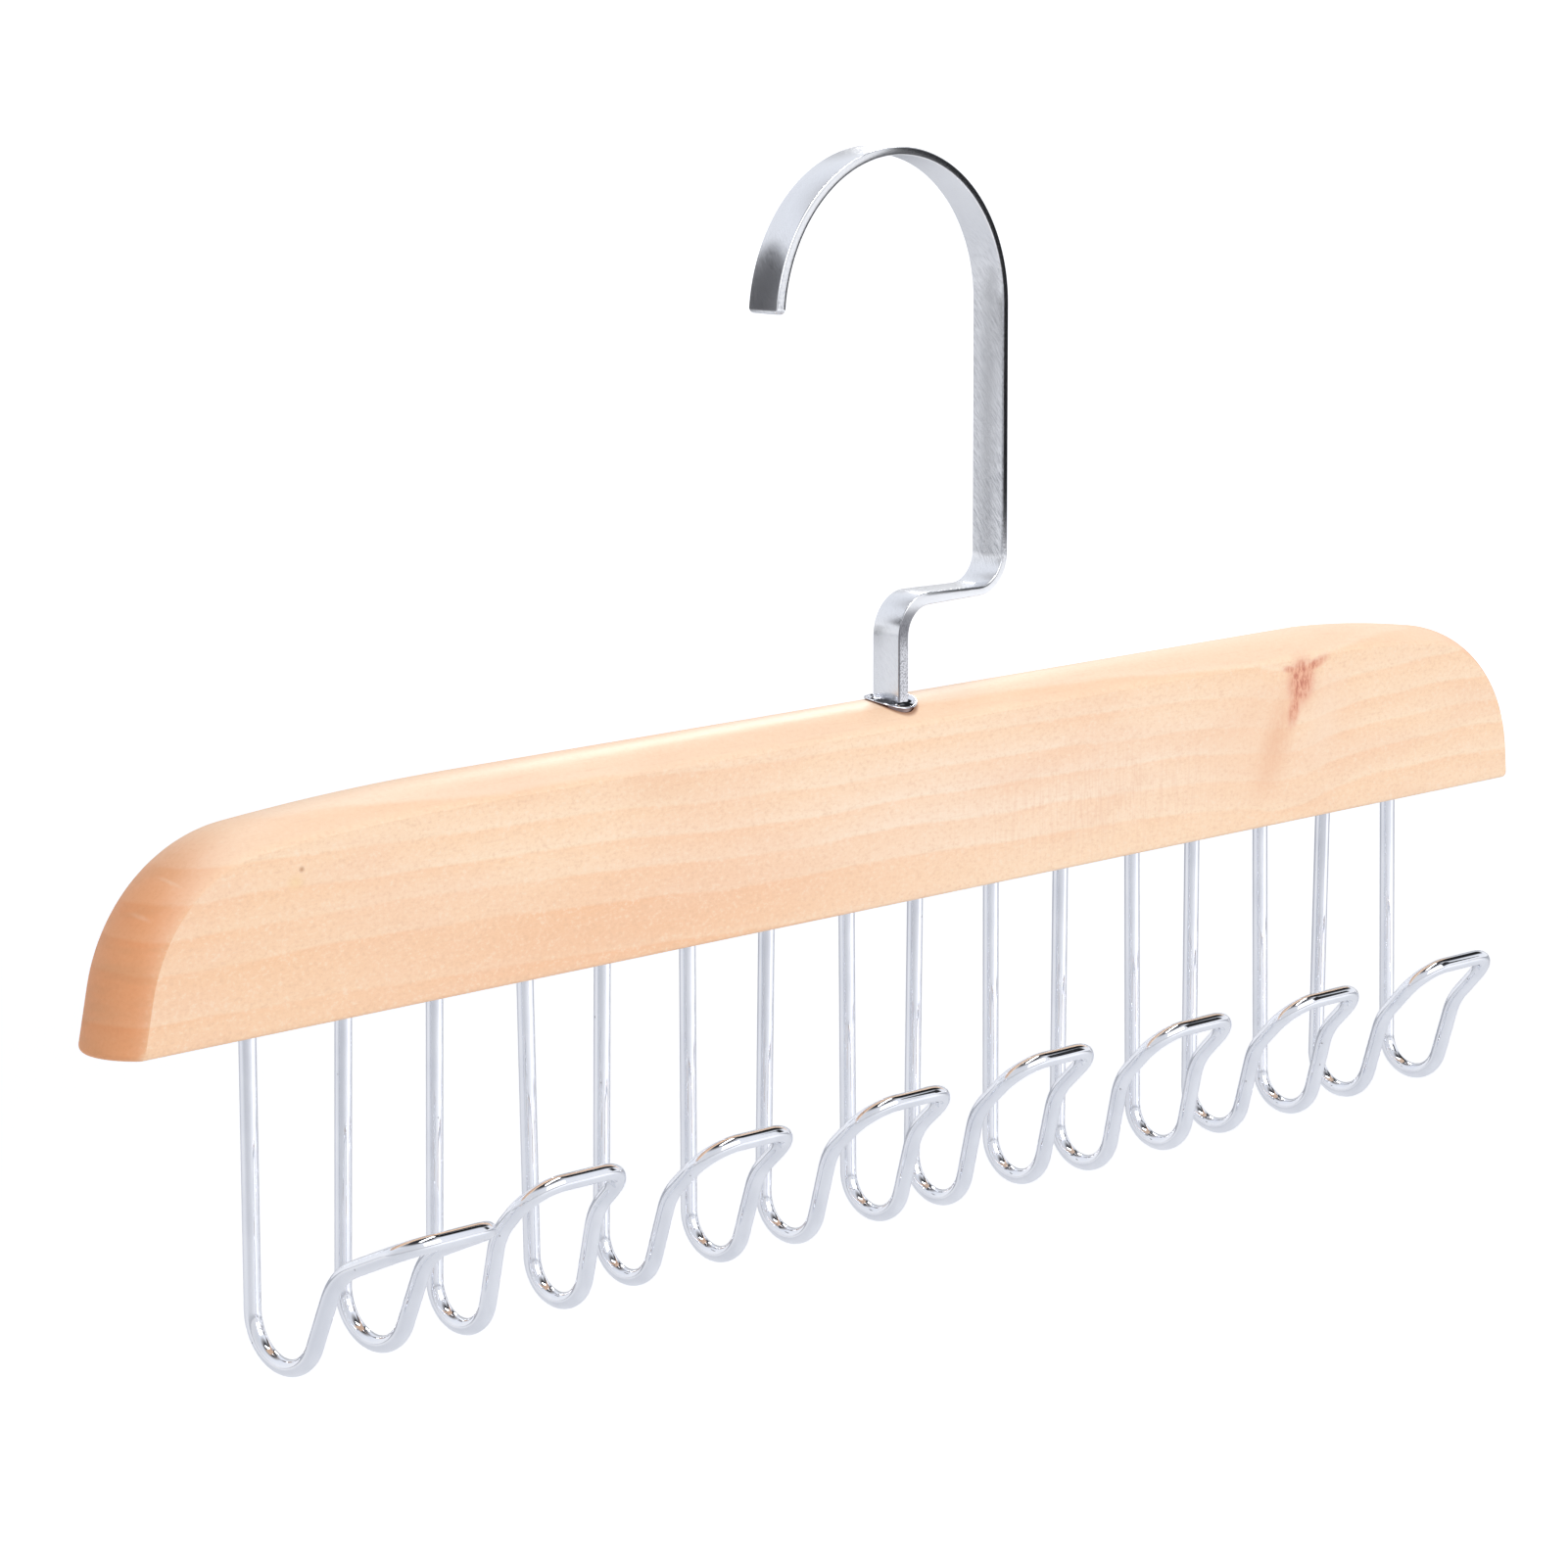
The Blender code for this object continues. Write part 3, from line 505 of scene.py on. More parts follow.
# Ferrule
# A small eyelet, spun from thin brass sheet and chromed: a thin rolled rim round a shallow dish.
# Its tube is pressed into the top of the bar, and the rim is bent down to the crown at front and back.
# The part's eyelet has a radius of 4.9, a rim of 0.4 and a dish of 0.3 mm
FERRULE_RADIUS = 4.8 * MM
FERRULE_HOLE = 3.75 * MM
FERRULE_TUBE = 4.12 * MM
FERRULE_RIM = 0.36 * MM
FERRULE_DISH = 0.8 * MM
DISH_FLOOR = 0.10 * MM
LIP_STEP = 0.03 * MM
TUBE_FLARE = 0.05 * MM
RIM_GAP = 0.07 * MM
RIM_LEANS = 0.75             # share of the crown's slope at the pin that the rim leans by
RIM_BENDS = 0.50             # share of the crown's further fall that it is bent down by
FERRULE_END_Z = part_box("ferrule")[0].z
SPUN_SIDES = 96
ROLL_STEPS = 14


def crown_fall(y):
    """How far the bar's crown has fallen at a depth in the hook's own frame."""
    return CROWN_RADIUS - math.sqrt(CROWN_RADIUS ** 2 - (y - BAR_PLACE.y) ** 2)


def rim_drop(y):
    """How far the rim has dropped at a depth: it leans with the crown and is bent down a little more."""
    slope = BAR_PLACE.y / math.sqrt(CROWN_RADIUS ** 2 - BAR_PLACE.y ** 2)
    further = crown_fall(y) - crown_fall(0) + slope * y
    return RIM_BENDS * further - RIM_LEANS * slope * y


def spun_on_crown(name, profile, x):
    """Spins a closed profile of (radius, height, share of the rim's bend) about an upright axis."""
    rings = []
    for radius, height, bent in profile:
        ring = []
        for px, py in arc((x, 0), radius, 0, 2 * math.pi * (SPUN_SIDES - 1) / SPUN_SIDES, SPUN_SIDES - 1):
            ring.append(Vector((px, py, height - bent * rim_drop(py))))
        rings.append(ring)
    return skin(name, rings + [rings[0]], capped=False)


CLEAR_CHROME = (0.870, 0.884, 0.922, 1)
HAZED_CHROME = (0.812, 0.828, 0.872, 1)
PIT_COLOUR = (0.300, 0.290, 0.290, 1)
# Painted shade for the eyelet's underside and tube, brown as the shaded wood beneath it
SHADE_BROWN = (0.300, 0.140, 0.080, 1)
SHADE_DARK = (0.120, 0.050, 0.035, 1)


def make_chrome(name):
    """Bright chrome plate with the odd pinhole, and a film too thin to see but for its haze."""
    material = bpy.data.materials.new(name)
    material.use_nodes = True
    tree = material.node_tree
    plate = tree.nodes["Principled BSDF"]
    haze = grain_noise(tree, in_millimetres(tree, (6, 6, 9)), detail=3.0)
    drawn = grain_noise(tree, in_millimetres(tree, (0.25, 0.25, 9.0)), detail=1.0)
    pits = put(tree, "TexVoronoi", {"Vector": in_millimetres(tree, (2.6, 2.6, 3.4)), "Scale": 1.0})
    here_and_there = grain_noise(tree, in_millimetres(tree, (5, 5, 5), (3, 1, 4)))
    pit = share_of(tree, fade(tree, pits, 0.085, 0.03), fade(tree, here_and_there, 0.5, 0.56))
    colour = blend_colour(tree, fade(tree, haze, 0.35, 0.7), CLEAR_CHROME, HAZED_CHROME)
    colour = stain(tree, colour, pit, 0.8, PIT_COLOUR)
    gloss = sum_up(tree, "MULTIPLY_ADD", haze, 0.08, 0.035)
    gloss = sum_up(tree, "MULTIPLY_ADD", pit, 0.4, gloss)
    bump = put(tree, "Bump", {"Strength": 0.008, "Distance": 0.03 * MM, "Height": drawn})
    tree.links.new(colour, plate.inputs["Base Color"])
    tree.links.new(gloss, plate.inputs["Roughness"])
    tree.links.new(bump, plate.inputs["Normal"])
    plate.inputs["Metallic"].default_value = 1.0
    return material


def make_chrome_shaded_below():
    """Chrome with painted shade where it faces down and out: brown and dark on the rim's underside and the
    tube.
    """
    material = make_chrome("chrome_shaded_below")
    tree = material.node_tree
    plate = tree.nodes["Principled BSDF"]
    facing = put(tree, "TexCoord", output="Normal")
    out = vectors(tree, "SUBTRACT", put(tree, "TexCoord", output="Object"), (STEM_OFFSET, 0, 0))
    out = vectors(tree, "NORMALIZE", vectors(tree, "MULTIPLY", out, (1, 1, 0)))
    facing_down = fade(tree, put(tree, "SeparateXYZ", {0: facing}, output="Z"), 0.25, -0.1)
    facing_out = fade(tree, measure(tree, "DOT_PRODUCT", out, facing), -0.1, 0.3)
    shade_mottle = grain_noise(tree, in_millimetres(tree, (0.9, 0.9, 0.9)), detail=2.0)
    underside_shade = blend_colour(tree, shade_mottle, SHADE_BROWN, SHADE_DARK)
    chromed = plate.inputs["Base Color"].links[0].from_socket
    tree.links.new(stain(tree, chromed, facing_down, facing_out, underside_shade), plate.inputs["Base Color"])
    return material


def make_ferrule(chrome):
    roll = FERRULE_RIM / 2
    rim_foot = BAR_PLACE.z + BAR_HEIGHT - crown_fall(0) + RIM_GAP
    rim_top = rim_foot + FERRULE_RIM
    lip = FERRULE_RADIUS - 2 * roll
    profile = [(FERRULE_HOLE, rim_top - FERRULE_DISH, 0),
               (FERRULE_HOLE + DISH_FLOOR, rim_top - FERRULE_DISH, 0.1),
               ((FERRULE_HOLE + lip) / 2, rim_top - FERRULE_DISH * 0.75, 0.5),
               (lip - LIP_STEP, rim_top - FERRULE_DISH * 0.4, 0.9)]
    roll_centre = (FERRULE_RADIUS - roll, rim_foot + roll)
    for across, up in arc(roll_centre, roll, math.pi, -RIGHT_ANGLE, ROLL_STEPS):
        profile.append((across, up, 1))
    profile += [(FERRULE_TUBE + TUBE_FLARE, rim_foot, 1), (FERRULE_TUBE, rim_foot - TUBE_FLARE, 1),
                (FERRULE_TUBE, FERRULE_END_Z, 0), (FERRULE_HOLE, FERRULE_END_Z, 0)]
    return place_piece("chromed_eyelet", spun_on_crown("chromed_eyelet", profile, STEM_OFFSET), chrome,
                       sharp=math.radians(50))


# The eyelet's chrome, with painted shade under its rim
eyelet = make_ferrule(make_chrome_shaded_below())
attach(eyelet, "bar")
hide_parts("ferrule")


# Flat hook
# A mild steel rod, rolled flat, trimmed along its edges, bent to the bow and the crank, and nickel plated.
# Its lower end stays round: the pin that goes down into the bar and ends in a peened head.
TIP_WIDTH = 7.0 * MM
TIP_THICKNESS = 2.15 * MM
STEM_WIDTH = 7.3 * MM
STEM_THICKNESS = 1.49 * MM   # the part has 1.5 mm: drawn thinner to stay inside the part's box
NECK_WIDTH = 6.4 * MM
NECK_THICKNESS = 2.5 * MM
EDGE_ROUNDING = 0.2 * MM
BOW_RADIUS = 28.58 * MM
BOW_SWEEP = math.radians(174.5)
BOW_TO_CRANK = 51.37 * MM
CRANK_RADIUS = 6.5 * MM
NECK_LENGTH = 16.99 * MM
STRIP_SINK = 2.9 * MM        # below the ferrule's rim
TIP_ROUNDING = 1.0 * MM
TIP_THINNING = 0.6
PIN_RADIUS = 2.0 * MM
PIN_TAPER = 3.4 * MM
HEAD_RADIUS = 3.0 * MM
HEAD_HEIGHT = 1.8 * MM
BOW_CENTRE_Z = 0.75 * MM - BOW_RADIUS
CRANK_Z = BOW_CENTRE_Z - BOW_TO_CRANK
STRIP_END_Z = CRANK_Z - NECK_LENGTH - STRIP_SINK
HEAD_END_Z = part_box("flat_hook")[0].z
SECTION_ARC_STEPS = 7
BOW_STEPS = 120
BEND_STEPS = 24
TIP_STEPS = 6
HEAD_STEPS = 5


class BentPath:
    """A flat path of straight runs and bends: stations of (across, up, heading, length so far)."""

    def __init__(self, across, up, heading):
        self.stations = [(across, up, heading, 0.0)]

    def run(self, length, steps=1):
        across, up, heading, so_far = self.stations[-1]
        for i in range(1, steps + 1):
            part = length * i / steps
            self.stations.append((across + part * math.cos(heading), up + part * math.sin(heading),
                                  heading, so_far + part))

    def bend(self, radius, angle, steps):
        across, up, heading, so_far = self.stations[-1]
        side = math.copysign(RIGHT_ANGLE, angle)
        centre = (across + radius * math.cos(heading + side), up + radius * math.sin(heading + side))
        for i in range(1, steps + 1):
            turned_by = angle * i / steps
            outward = heading - side + turned_by
            self.stations.append((centre[0] + radius * math.cos(outward),
                                  centre[1] + radius * math.sin(outward),
                                  heading + turned_by, so_far + radius * abs(turned_by)))


def strip_section(width, thickness, rounding):
    """Rounded rectangle as (across the width, through the thickness)."""
    ring = []
    for corner in range(4):
        start = corner * RIGHT_ANGLE
        middle = start + RIGHT_ANGLE / 2
        centre = (math.copysign(width / 2 - rounding, math.cos(middle)),
                  math.copysign(thickness / 2 - rounding, math.sin(middle)))
        ring += arc(centre, rounding, start, start + RIGHT_ANGLE, SECTION_ARC_STEPS)
    return ring


def eased(value, start, end):
    share = min(max((value - start) / (end - start), 0), 1)
    return share * share * (3 - 2 * share)


def strip_size(so_far):
    """The strip is rolled thinner and wider towards the stem, and is left thick and narrow at the neck."""
    stem_end = BOW_RADIUS * BOW_SWEEP + BOW_TO_CRANK - CRANK_RADIUS
    neck_start = stem_end + CRANK_RADIUS * math.pi + BOW_RADIUS - STEM_OFFSET - 2 * CRANK_RADIUS
    to_stem = eased(so_far, 0, BOW_RADIUS * BOW_SWEEP / 2)
    to_neck = eased(so_far, stem_end, neck_start)
    width = TIP_WIDTH + (STEM_WIDTH - TIP_WIDTH) * to_stem + (NECK_WIDTH - STEM_WIDTH) * to_neck
    thickness = (TIP_THICKNESS + (STEM_THICKNESS - TIP_THICKNESS) * to_stem
                 + (NECK_THICKNESS - STEM_THICKNESS) * to_neck)
    return width, thickness


def across_strip(section, station):
    """Sets a flat section square across the hook's path, which lies in the plane of the bar."""
    across, up, heading, _ = station
    normal = Vector((-math.sin(heading), 0, math.cos(heading)))
    return [Vector((across, side, up)) + normal * depth for side, depth in section]


def hook_stations():
    path = BentPath(BOW_RADIUS * math.cos(BOW_SWEEP), BOW_CENTRE_Z + BOW_RADIUS * math.sin(BOW_SWEEP),
                    BOW_SWEEP - RIGHT_ANGLE)
    path.bend(BOW_RADIUS, -BOW_SWEEP, BOW_STEPS)
    path.run(BOW_TO_CRANK - CRANK_RADIUS, steps=8)
    path.bend(CRANK_RADIUS, -RIGHT_ANGLE, BEND_STEPS)
    path.run(BOW_RADIUS - STEM_OFFSET - 2 * CRANK_RADIUS, steps=4)
    path.bend(CRANK_RADIUS, RIGHT_ANGLE, BEND_STEPS)
    path.run(CRANK_Z - CRANK_RADIUS - STRIP_END_Z, steps=4)
    return path.stations


BRUSH_SLANT = math.radians(38)
BRUSH_STROKE = (0.6 * MM, 0.22 * MM, 1.9 * MM)
SMOOTH_NICKEL = (0.860, 0.870, 0.892, 1)
BRUSHED_NICKEL = (0.520, 0.530, 0.560, 1)
CLOUDED_NICKEL = (0.800, 0.806, 0.825, 1)
DULL_EDGE = (0.600, 0.600, 0.630, 1)
DENT_COLOUR = (0.250, 0.250, 0.270, 1)
# Painted dark reflection on the neck's edge
DARK_EDGE_REFLECTION = (0.110, 0.110, 0.125, 1)


def make_satin_nickel():
    """Nickel plate, brushed aslant over the strip's faces and left brighter on its rounded edges."""
    material = bpy.data.materials.new("satin_nickel")
    material.use_nodes = True
    tree = material.node_tree
    plate = tree.nodes["Principled BSDF"]
    own = put(tree, "TexCoord", output="Object")
    aslant = put(tree, "VectorRotate", {"Vector": own, "Axis": (1, 0, 0), "Angle": BRUSH_SLANT})
    strokes = vectors(tree, "MULTIPLY", aslant, tuple(1 / length for length in BRUSH_STROKE))
    brushed = grain_noise(tree, strokes, detail=3.0, roughness=0.7)
    cloudy = grain_noise(tree, in_millimetres(tree, (9, 5, 12)), detail=3.0, roughness=0.6)
    across = put(tree, "SeparateXYZ", {0: in_millimetres(tree)}, output="X")
    height = put(tree, "SeparateXYZ", {0: in_millimetres(tree)}, output="Z")
    sideways = put(tree, "SeparateXYZ", {0: put(tree, "TexCoord", output="Normal")}, output="Y")
    at_edge = fade(tree, put(tree, "Math", {0: sideways}, operation="ABSOLUTE"), 0.12, 0.6)

    # The lower stem is brushed most, and the bow's sides less. Its top, the crank and the neck stay smooth.
    brushing = sum_up(tree, "MAXIMUM", fade(tree, height, -45, -62), fade(tree, height, -8, -24, 0, 0.6))
    brushing = share_of(tree, brushing, fade(tree, height, -76, -72, 0.08, 1.0))
    grain_share = share_of(tree, fade(tree, brushed, 0.42, 0.66), brushing)
    colour = blend_colour(tree, grain_share, SMOOTH_NICKEL, BRUSHED_NICKEL)
    colour = blend_colour(tree, fade(tree, cloudy, 0.4, 0.75, 0, 0.4), colour, CLOUDED_NICKEL)

    # The trimmed edges of the neck and the stem are dull and dented
    dents = grain_noise(tree, in_millimetres(tree, (0.28, 0.45, 0.40), (3, 2, 6)), detail=2.0,
                        roughness=0.7)
    stem_edge = share_of(tree, fade(tree, height, -20, -40), fade(tree, height, -74, -70))
    rough_edge = sum_up(tree, "MAXIMUM", fade(tree, height, -81, -84), stem_edge)
    colour = stain(tree, colour, share_of(tree, rough_edge, at_edge), 0.8, DULL_EDGE)
    edge_marks = share_of(tree, fade(tree, dents, 0.46, 0.62, 0, 0.8), at_edge)
    dented = sum_up(tree, "MULTIPLY_ADD", rough_edge, 0.85, 0.15)
    colour = stain(tree, colour, edge_marks, dented, DENT_COLOUR)

    # A painted dark reflection: a near-black step on the edge where the neck starts, and a dark line down
    # the left of its edge
    step = share_of(tree, fade(tree, height, -79.5, -82), fade(tree, height, -89, -84))
    line = share_of(tree, fade(tree, height, -80, -83), fade(tree, across, 1.75, 1.45))
    dark_reflection = share_of(tree, sum_up(tree, "MAXIMUM", step, line), at_edge)
    colour = stain(tree, colour, dark_reflection, 0.75, DARK_EDGE_REFLECTION)

    gloss = put(tree, "Mix", {0: at_edge, 2: fade(tree, brushed, 0.3, 0.8, 0.16, 0.27), 3: 0.09})
    keep_bump = sum_up(tree, "MULTIPLY_ADD", brushing, 0.14, 0.03)
    bump = put(tree, "Bump", {"Strength": keep_bump, "Distance": 0.04 * MM, "Height": brushed})
    tree.links.new(colour, plate.inputs["Base Color"])
    tree.links.new(gloss, plate.inputs["Roughness"])
    tree.links.new(bump, plate.inputs["Normal"])
    plate.inputs["Metallic"].default_value = 1.0
    return material


def make_flat_hook():
    rings = []
    stations = hook_stations()
    first = stations[0]
    for lead, rise in arc((0, 0), TIP_ROUNDING, math.pi, RIGHT_ANGLE, TIP_STEPS)[:-1]:
        drawn_in = TIP_ROUNDING - rise
        section = strip_section(TIP_WIDTH - 2 * drawn_in, TIP_THICKNESS - TIP_THINNING * drawn_in,
                                EDGE_ROUNDING)
        across, up, heading, so_far = first
        back = (across + lead * math.cos(heading), up + lead * math.sin(heading), heading, so_far)
        rings.append(across_strip(section, back))
    for station in stations:
        rings.append(across_strip(strip_section(*strip_size(station[3]), EDGE_ROUNDING), station))
    count = 4 * (SECTION_ARC_STEPS + 1)
    half_step = math.pi / count
    circle = arc((0, 0), 1, half_step, 2 * math.pi - half_step, count - 1)
    head_top = HEAD_END_Z + HEAD_HEIGHT
    low = [(PIN_RADIUS, STRIP_END_Z - PIN_TAPER), (PIN_RADIUS, head_top), (HEAD_RADIUS, head_top)]
    for cosine, sine in arc((0, 0), 1, 0, RIGHT_ANGLE * 2 / 3, HEAD_STEPS):
        low.append((HEAD_RADIUS * cosine, head_top - HEAD_HEIGHT / 2 * (1 + sine)))
    for radius, height in low:
        section = [(radius * side, radius * depth) for side, depth in circle]
        rings.append(across_strip(section, (STEM_OFFSET, height, -RIGHT_ANGLE, 0)))
    return place_piece("nickel_hook", skin("nickel_hook", rings), make_satin_nickel(),
                       sharp=math.radians(38))


nickel_hook = make_flat_hook()
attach(nickel_hook, "hook")
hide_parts("flat_hook")


# Sleeve and washer
# Plain turned steel, out of sight inside the bar: the pin turns in the pressed-in sleeve, and the
# washer lies between the sleeve's lower end and the pin's head. Both keep their turning marks and grease.
BARE_STEEL = (0.56, 0.56, 0.57, 1)
GREASED_STEEL = (0.44, 0.42, 0.38, 1)


def make_turned_steel():
    material = bpy.data.materials.new("turned_steel")
    material.use_nodes = True
    tree = material.node_tree
    metal = tree.nodes["Principled BSDF"]
    tool_marks = grain_noise(tree, in_millimetres(tree, (4, 4, 0.12)), detail=2.0)
    grease = grain_noise(tree, in_millimetres(tree, (3, 3, 2)), detail=3.0)
    colour = blend_colour(tree, fade(tree, grease, 0.4, 0.7), BARE_STEEL, GREASED_STEEL)
    tree.links.new(colour, metal.inputs["Base Color"])
    tree.links.new(fade(tree, tool_marks, 0.3, 0.7, 0.24, 0.42), metal.inputs["Roughness"])
    bump = put(tree, "Bump", {"Strength": 0.3, "Distance": 0.03 * MM, "Height": tool_marks})
    tree.links.new(bump, metal.inputs["Normal"])
    metal.inputs["Metallic"].default_value = 1.0
    return material


turned_steel = make_turned_steel()
for hidden in ("swivel_sleeve", "thrust_washer"):
    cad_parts[hidden].data.materials.clear()
    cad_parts[hidden].data.materials.append(turned_steel)


# Belt hooks
# Eight double hooks, each bent from one length of 3 mm wire and chromed before its legs go into the bar.
# Bent by hand on a peg, no two are quite alike, and the first has been pulled out and opened.
WIRE_RADIUS = 1.45 * MM      # the part has 1.5 mm: drawn thinner to stay inside the part's box
LEG_SEAT = 16.0 * MM
ARM_LENGTH = 9.4 * MM
NOSE_RADIUS = 11.7 * MM
SWAYS = [sway * MM for sway in (-0.6, 0, -0.4, -0.3, -0.3, 0.2, 0.5, 0.1)]
SPREADS = [spread * MM for spread in (-1.0, 1.8, 0.8, 1.4, 1.0, 1.2, 1.2, 2.2)]
DROPS = [drop * MM for drop in (47.0, 49.9, 49.1, 49.4, 49.6, 50.4, 50.0, 49.6)]
CURL_RADII = [8.1 * MM] + [6.7 * MM] * 7
ARM_LEANS = [math.radians(lean) for lean in (23.2, 12.5, 17.6, 15.3, 13.1, 12.3, 15.1, 17.1)]
NOSE_LEANS = [math.radians(lean) for lean in (66.4, 44.0, 46.1, 46.9, 45.7, 43.8, 43.9, 42.6)]
# The first nose is 0.08 mm shorter than the part's, for the same reason as the thinner wire
NOSE_LENGTHS = [nose * MM for nose in (14.72, 9.2, 10.8, 10.0, 11.0, 10.5, 10.1, 11.9)]
CORNER_RADII = [5.6 * MM] + [6.7 * MM] * 7
PULLED_OUT = [5.8 * MM] + [0.0] * 7
WIRE_SIDES = 40
CURL_STEPS = 40
NOSE_STEPS = 14
NOSE_CORNER_STEPS = 20
LEAST_STEP = 0.05 * MM


def arm_points(hook):
    """One arm as (half gap, Y, Z), from its end in the bar, round the curl and out to the bow's middle."""
    path = BentPath(0, 0, -RIGHT_ANGLE)
    path.run(DROPS[hook], steps=10)
    path.bend(CURL_RADII[hook], ARM_LEANS[hook] - math.pi, CURL_STEPS)
    path.run(ARM_LENGTH, steps=3)
    path.bend(NOSE_RADIUS, NOSE_LEANS[hook] - ARM_LEANS[hook], NOSE_STEPS)
    narrow = LEG_GAP / 2
    wide = narrow + SPREADS[hook] / 2
    points = [(narrow, 0, LEG_SEAT - PULLED_OUT[hook]), (narrow, 0, 0)]
    for across, up, _, _ in path.stations[1:]:
        share = min(-up / DROPS[hook], 1) if abs(across) < WIRE_RADIUS / 100 else 1
        points.append((narrow + (wide - narrow) * share, across, up))
    across, up, heading, _ = path.stations[-1]
    corner = CORNER_RADII[hook]
    for out, ahead in arc((wide - corner, NOSE_LENGTHS[hook] - corner), corner, 0, RIGHT_ANGLE,
                          NOSE_CORNER_STEPS):
        points.append((out, across + ahead * math.cos(heading), up + ahead * math.sin(heading)))
    return points


def wire_line(hook):
    """The whole wire's middle line in the row frame, swayed a little to one side below the bar."""
    right = arm_points(hook)
    line = []
    for out, across, up in right + [(-out, across, up) for out, across, up in reversed(right)]:
        sway = SWAYS[hook] * min(max(-up / DROPS[hook], 0), 1)
        place = BAR_PLACE + Vector((HOOK_CENTRES[hook] + out + sway, across, up))
        if not line or (place - line[-1]).length > LEAST_STEP:
            line.append(place)
    return line


def round_wire(name, line):
    """Skins a round wire along its middle line, without twist."""
    rings = []
    side = Vector((1, 0, 0))
    for i, place in enumerate(line):
        before = line[max(i - 1, 0)]
        after = line[min(i + 1, len(line) - 1)]
        heading = (after - before).normalized()
        side = (side - heading * side.dot(heading)).normalized()
        other = heading.cross(side)
        circle = arc((0, 0), WIRE_RADIUS, 0, 2 * math.pi * (WIRE_SIDES - 1) / WIRE_SIDES, WIRE_SIDES - 1)
        rings.append([place + side * a + other * b for a, b in circle])
    return skin(name, rings)


bright_chrome = make_chrome("bright_chrome")
for hook in range(len(DROPS)):
    wire_name = f"wire_hook_{hook + 1}"
    wire = place_piece(wire_name, round_wire(wire_name, wire_line(hook)), bright_chrome,
                       sharp=math.radians(50))
    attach(wire, "bar")
    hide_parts(f"belt_hook_{hook + 1}")


# Studio
# A wide white table well below the hanging piece, a white surround, soft boxes, and four cards out of the
# camera's sight that give the plated metal something darker to show.
TABLE_Z = -0.40
TABLE_HALF = 16.0
TABLE_WHITE = (0.89, 0.89, 0.90, 1)
TABLE_MOTTLE = (0.86, 0.865, 0.88, 1)
TABLE_IN_METAL = (0.80, 0.81, 0.83, 1)
FRONT_RIGHT = (0.7, -0.7, 0)
BEHIND = (0.7, 0.7, 0)       # the piece, as the camera sees it


def make_table():
    """Matt white, lifted to clear white for the camera and by place in what the metal shows of it."""
    table_top = bpy.data.materials.new("white_table")
    table_top.use_nodes = True
    tree = table_top.node_tree
    paint = tree.nodes["Principled BSDF"]
    own = put(tree, "TexCoord", output="Object")
    distance = measure(tree, "LENGTH", own)
    front_right = measure(tree, "DOT_PRODUCT", own, FRONT_RIGHT)
    behind = measure(tree, "DOT_PRODUCT", own, BEHIND)
    in_metal = put(tree, "LightPath", output="Is Glossy Ray")
    mottle = grain_noise(tree, in_millimetres(tree, (300, 300, 300)))
    colour = blend_colour(tree, mottle, TABLE_MOTTLE, TABLE_WHITE)
    shaded = sum_up(tree, "MAXIMUM", fade(tree, distance, 1.1, 0.5), fade(tree, behind, 0.5, 1.3))
    tree.links.new(stain(tree, colour, shaded, in_metal, TABLE_IN_METAL), paint.inputs["Base Color"])
    paint.inputs["Roughness"].default_value = 0.9
    paint.inputs["Specular IOR Level"].default_value = 0.0
    paint.inputs["Emission Color"].default_value = (1, 1, 1, 1)
    to_camera = sum_up(tree, "MULTIPLY_ADD", fade(tree, distance, 0.6, 3.0), 0.35, 0.40)
    to_metal = fade(tree, front_right, 0.0, 1.3, 0.34, 0.58)
    to_metal = share_of(tree, to_metal, fade(tree, behind, 0.9, 0.1))
    to_metal = share_of(tree, to_metal, fade(tree, behind, -1.0, -0.3, 0.2, 1.0))
    to_metal = share_of(tree, to_metal, fade(tree, distance, 0.4, 1.4, 0.15, 1.0))
    lift = share_of(tree, put(tree, "LightPath", output="Is Camera Ray"), to_camera)
    lift = sum_up(tree, "MULTIPLY_ADD", in_metal, to_metal, lift)
    tree.links.new(lift, paint.inputs["Emission Strength"])
    corners = [(-1, -1), (1, -1), (1, 1), (-1, 1)]
    mesh = bpy.data.meshes.new("table")
    mesh.from_pydata([(x * TABLE_HALF, y * TABLE_HALF, TABLE_Z) for x, y in corners], [], [(0, 1, 2, 3)])
    return place_piece("table", mesh, table_top)


def make_card(name, first, second, low, high, grey, soft):
    """An upright card between two points on the floor plan, with a feathered border as wide as soft."""
    board = bpy.data.materials.new(name)
    board.use_nodes = True
    tree = board.node_tree
    face = tree.nodes["Principled BSDF"]
    own = put(tree, "TexCoord", output="Object")
    run = Vector(second) - Vector(first)
    heading = run.normalized()
    start = Vector(first).dot(heading)
    end = start + run.length
    along = measure(tree, "DOT_PRODUCT", own, (*heading, 0))
    up = put(tree, "SeparateXYZ", {0: own}, output="Z")
    solid = share_of(tree, fade(tree, along, start, start + soft), fade(tree, along, end, end - soft))
    solid = share_of(tree, solid, fade(tree, up, low, low + soft))
    solid = share_of(tree, solid, fade(tree, up, high, high - soft))
    tree.links.new(solid, face.inputs["Alpha"])
    face.inputs["Base Color"].default_value = (grey, grey, grey * 1.05, 1)
    face.inputs["Roughness"].default_value = 1.0
    face.inputs["Specular IOR Level"].default_value = 0.0
    mesh = bpy.data.meshes.new(name)
    mesh.from_pydata([(*first, low), (*second, low), (*second, high), (*first, high)], [], [(0, 1, 2, 3)])
    card = place_piece(name, mesh, board)
    card.visible_camera = False
    card.visible_shadow = False
    card.visible_diffuse = False
    return card


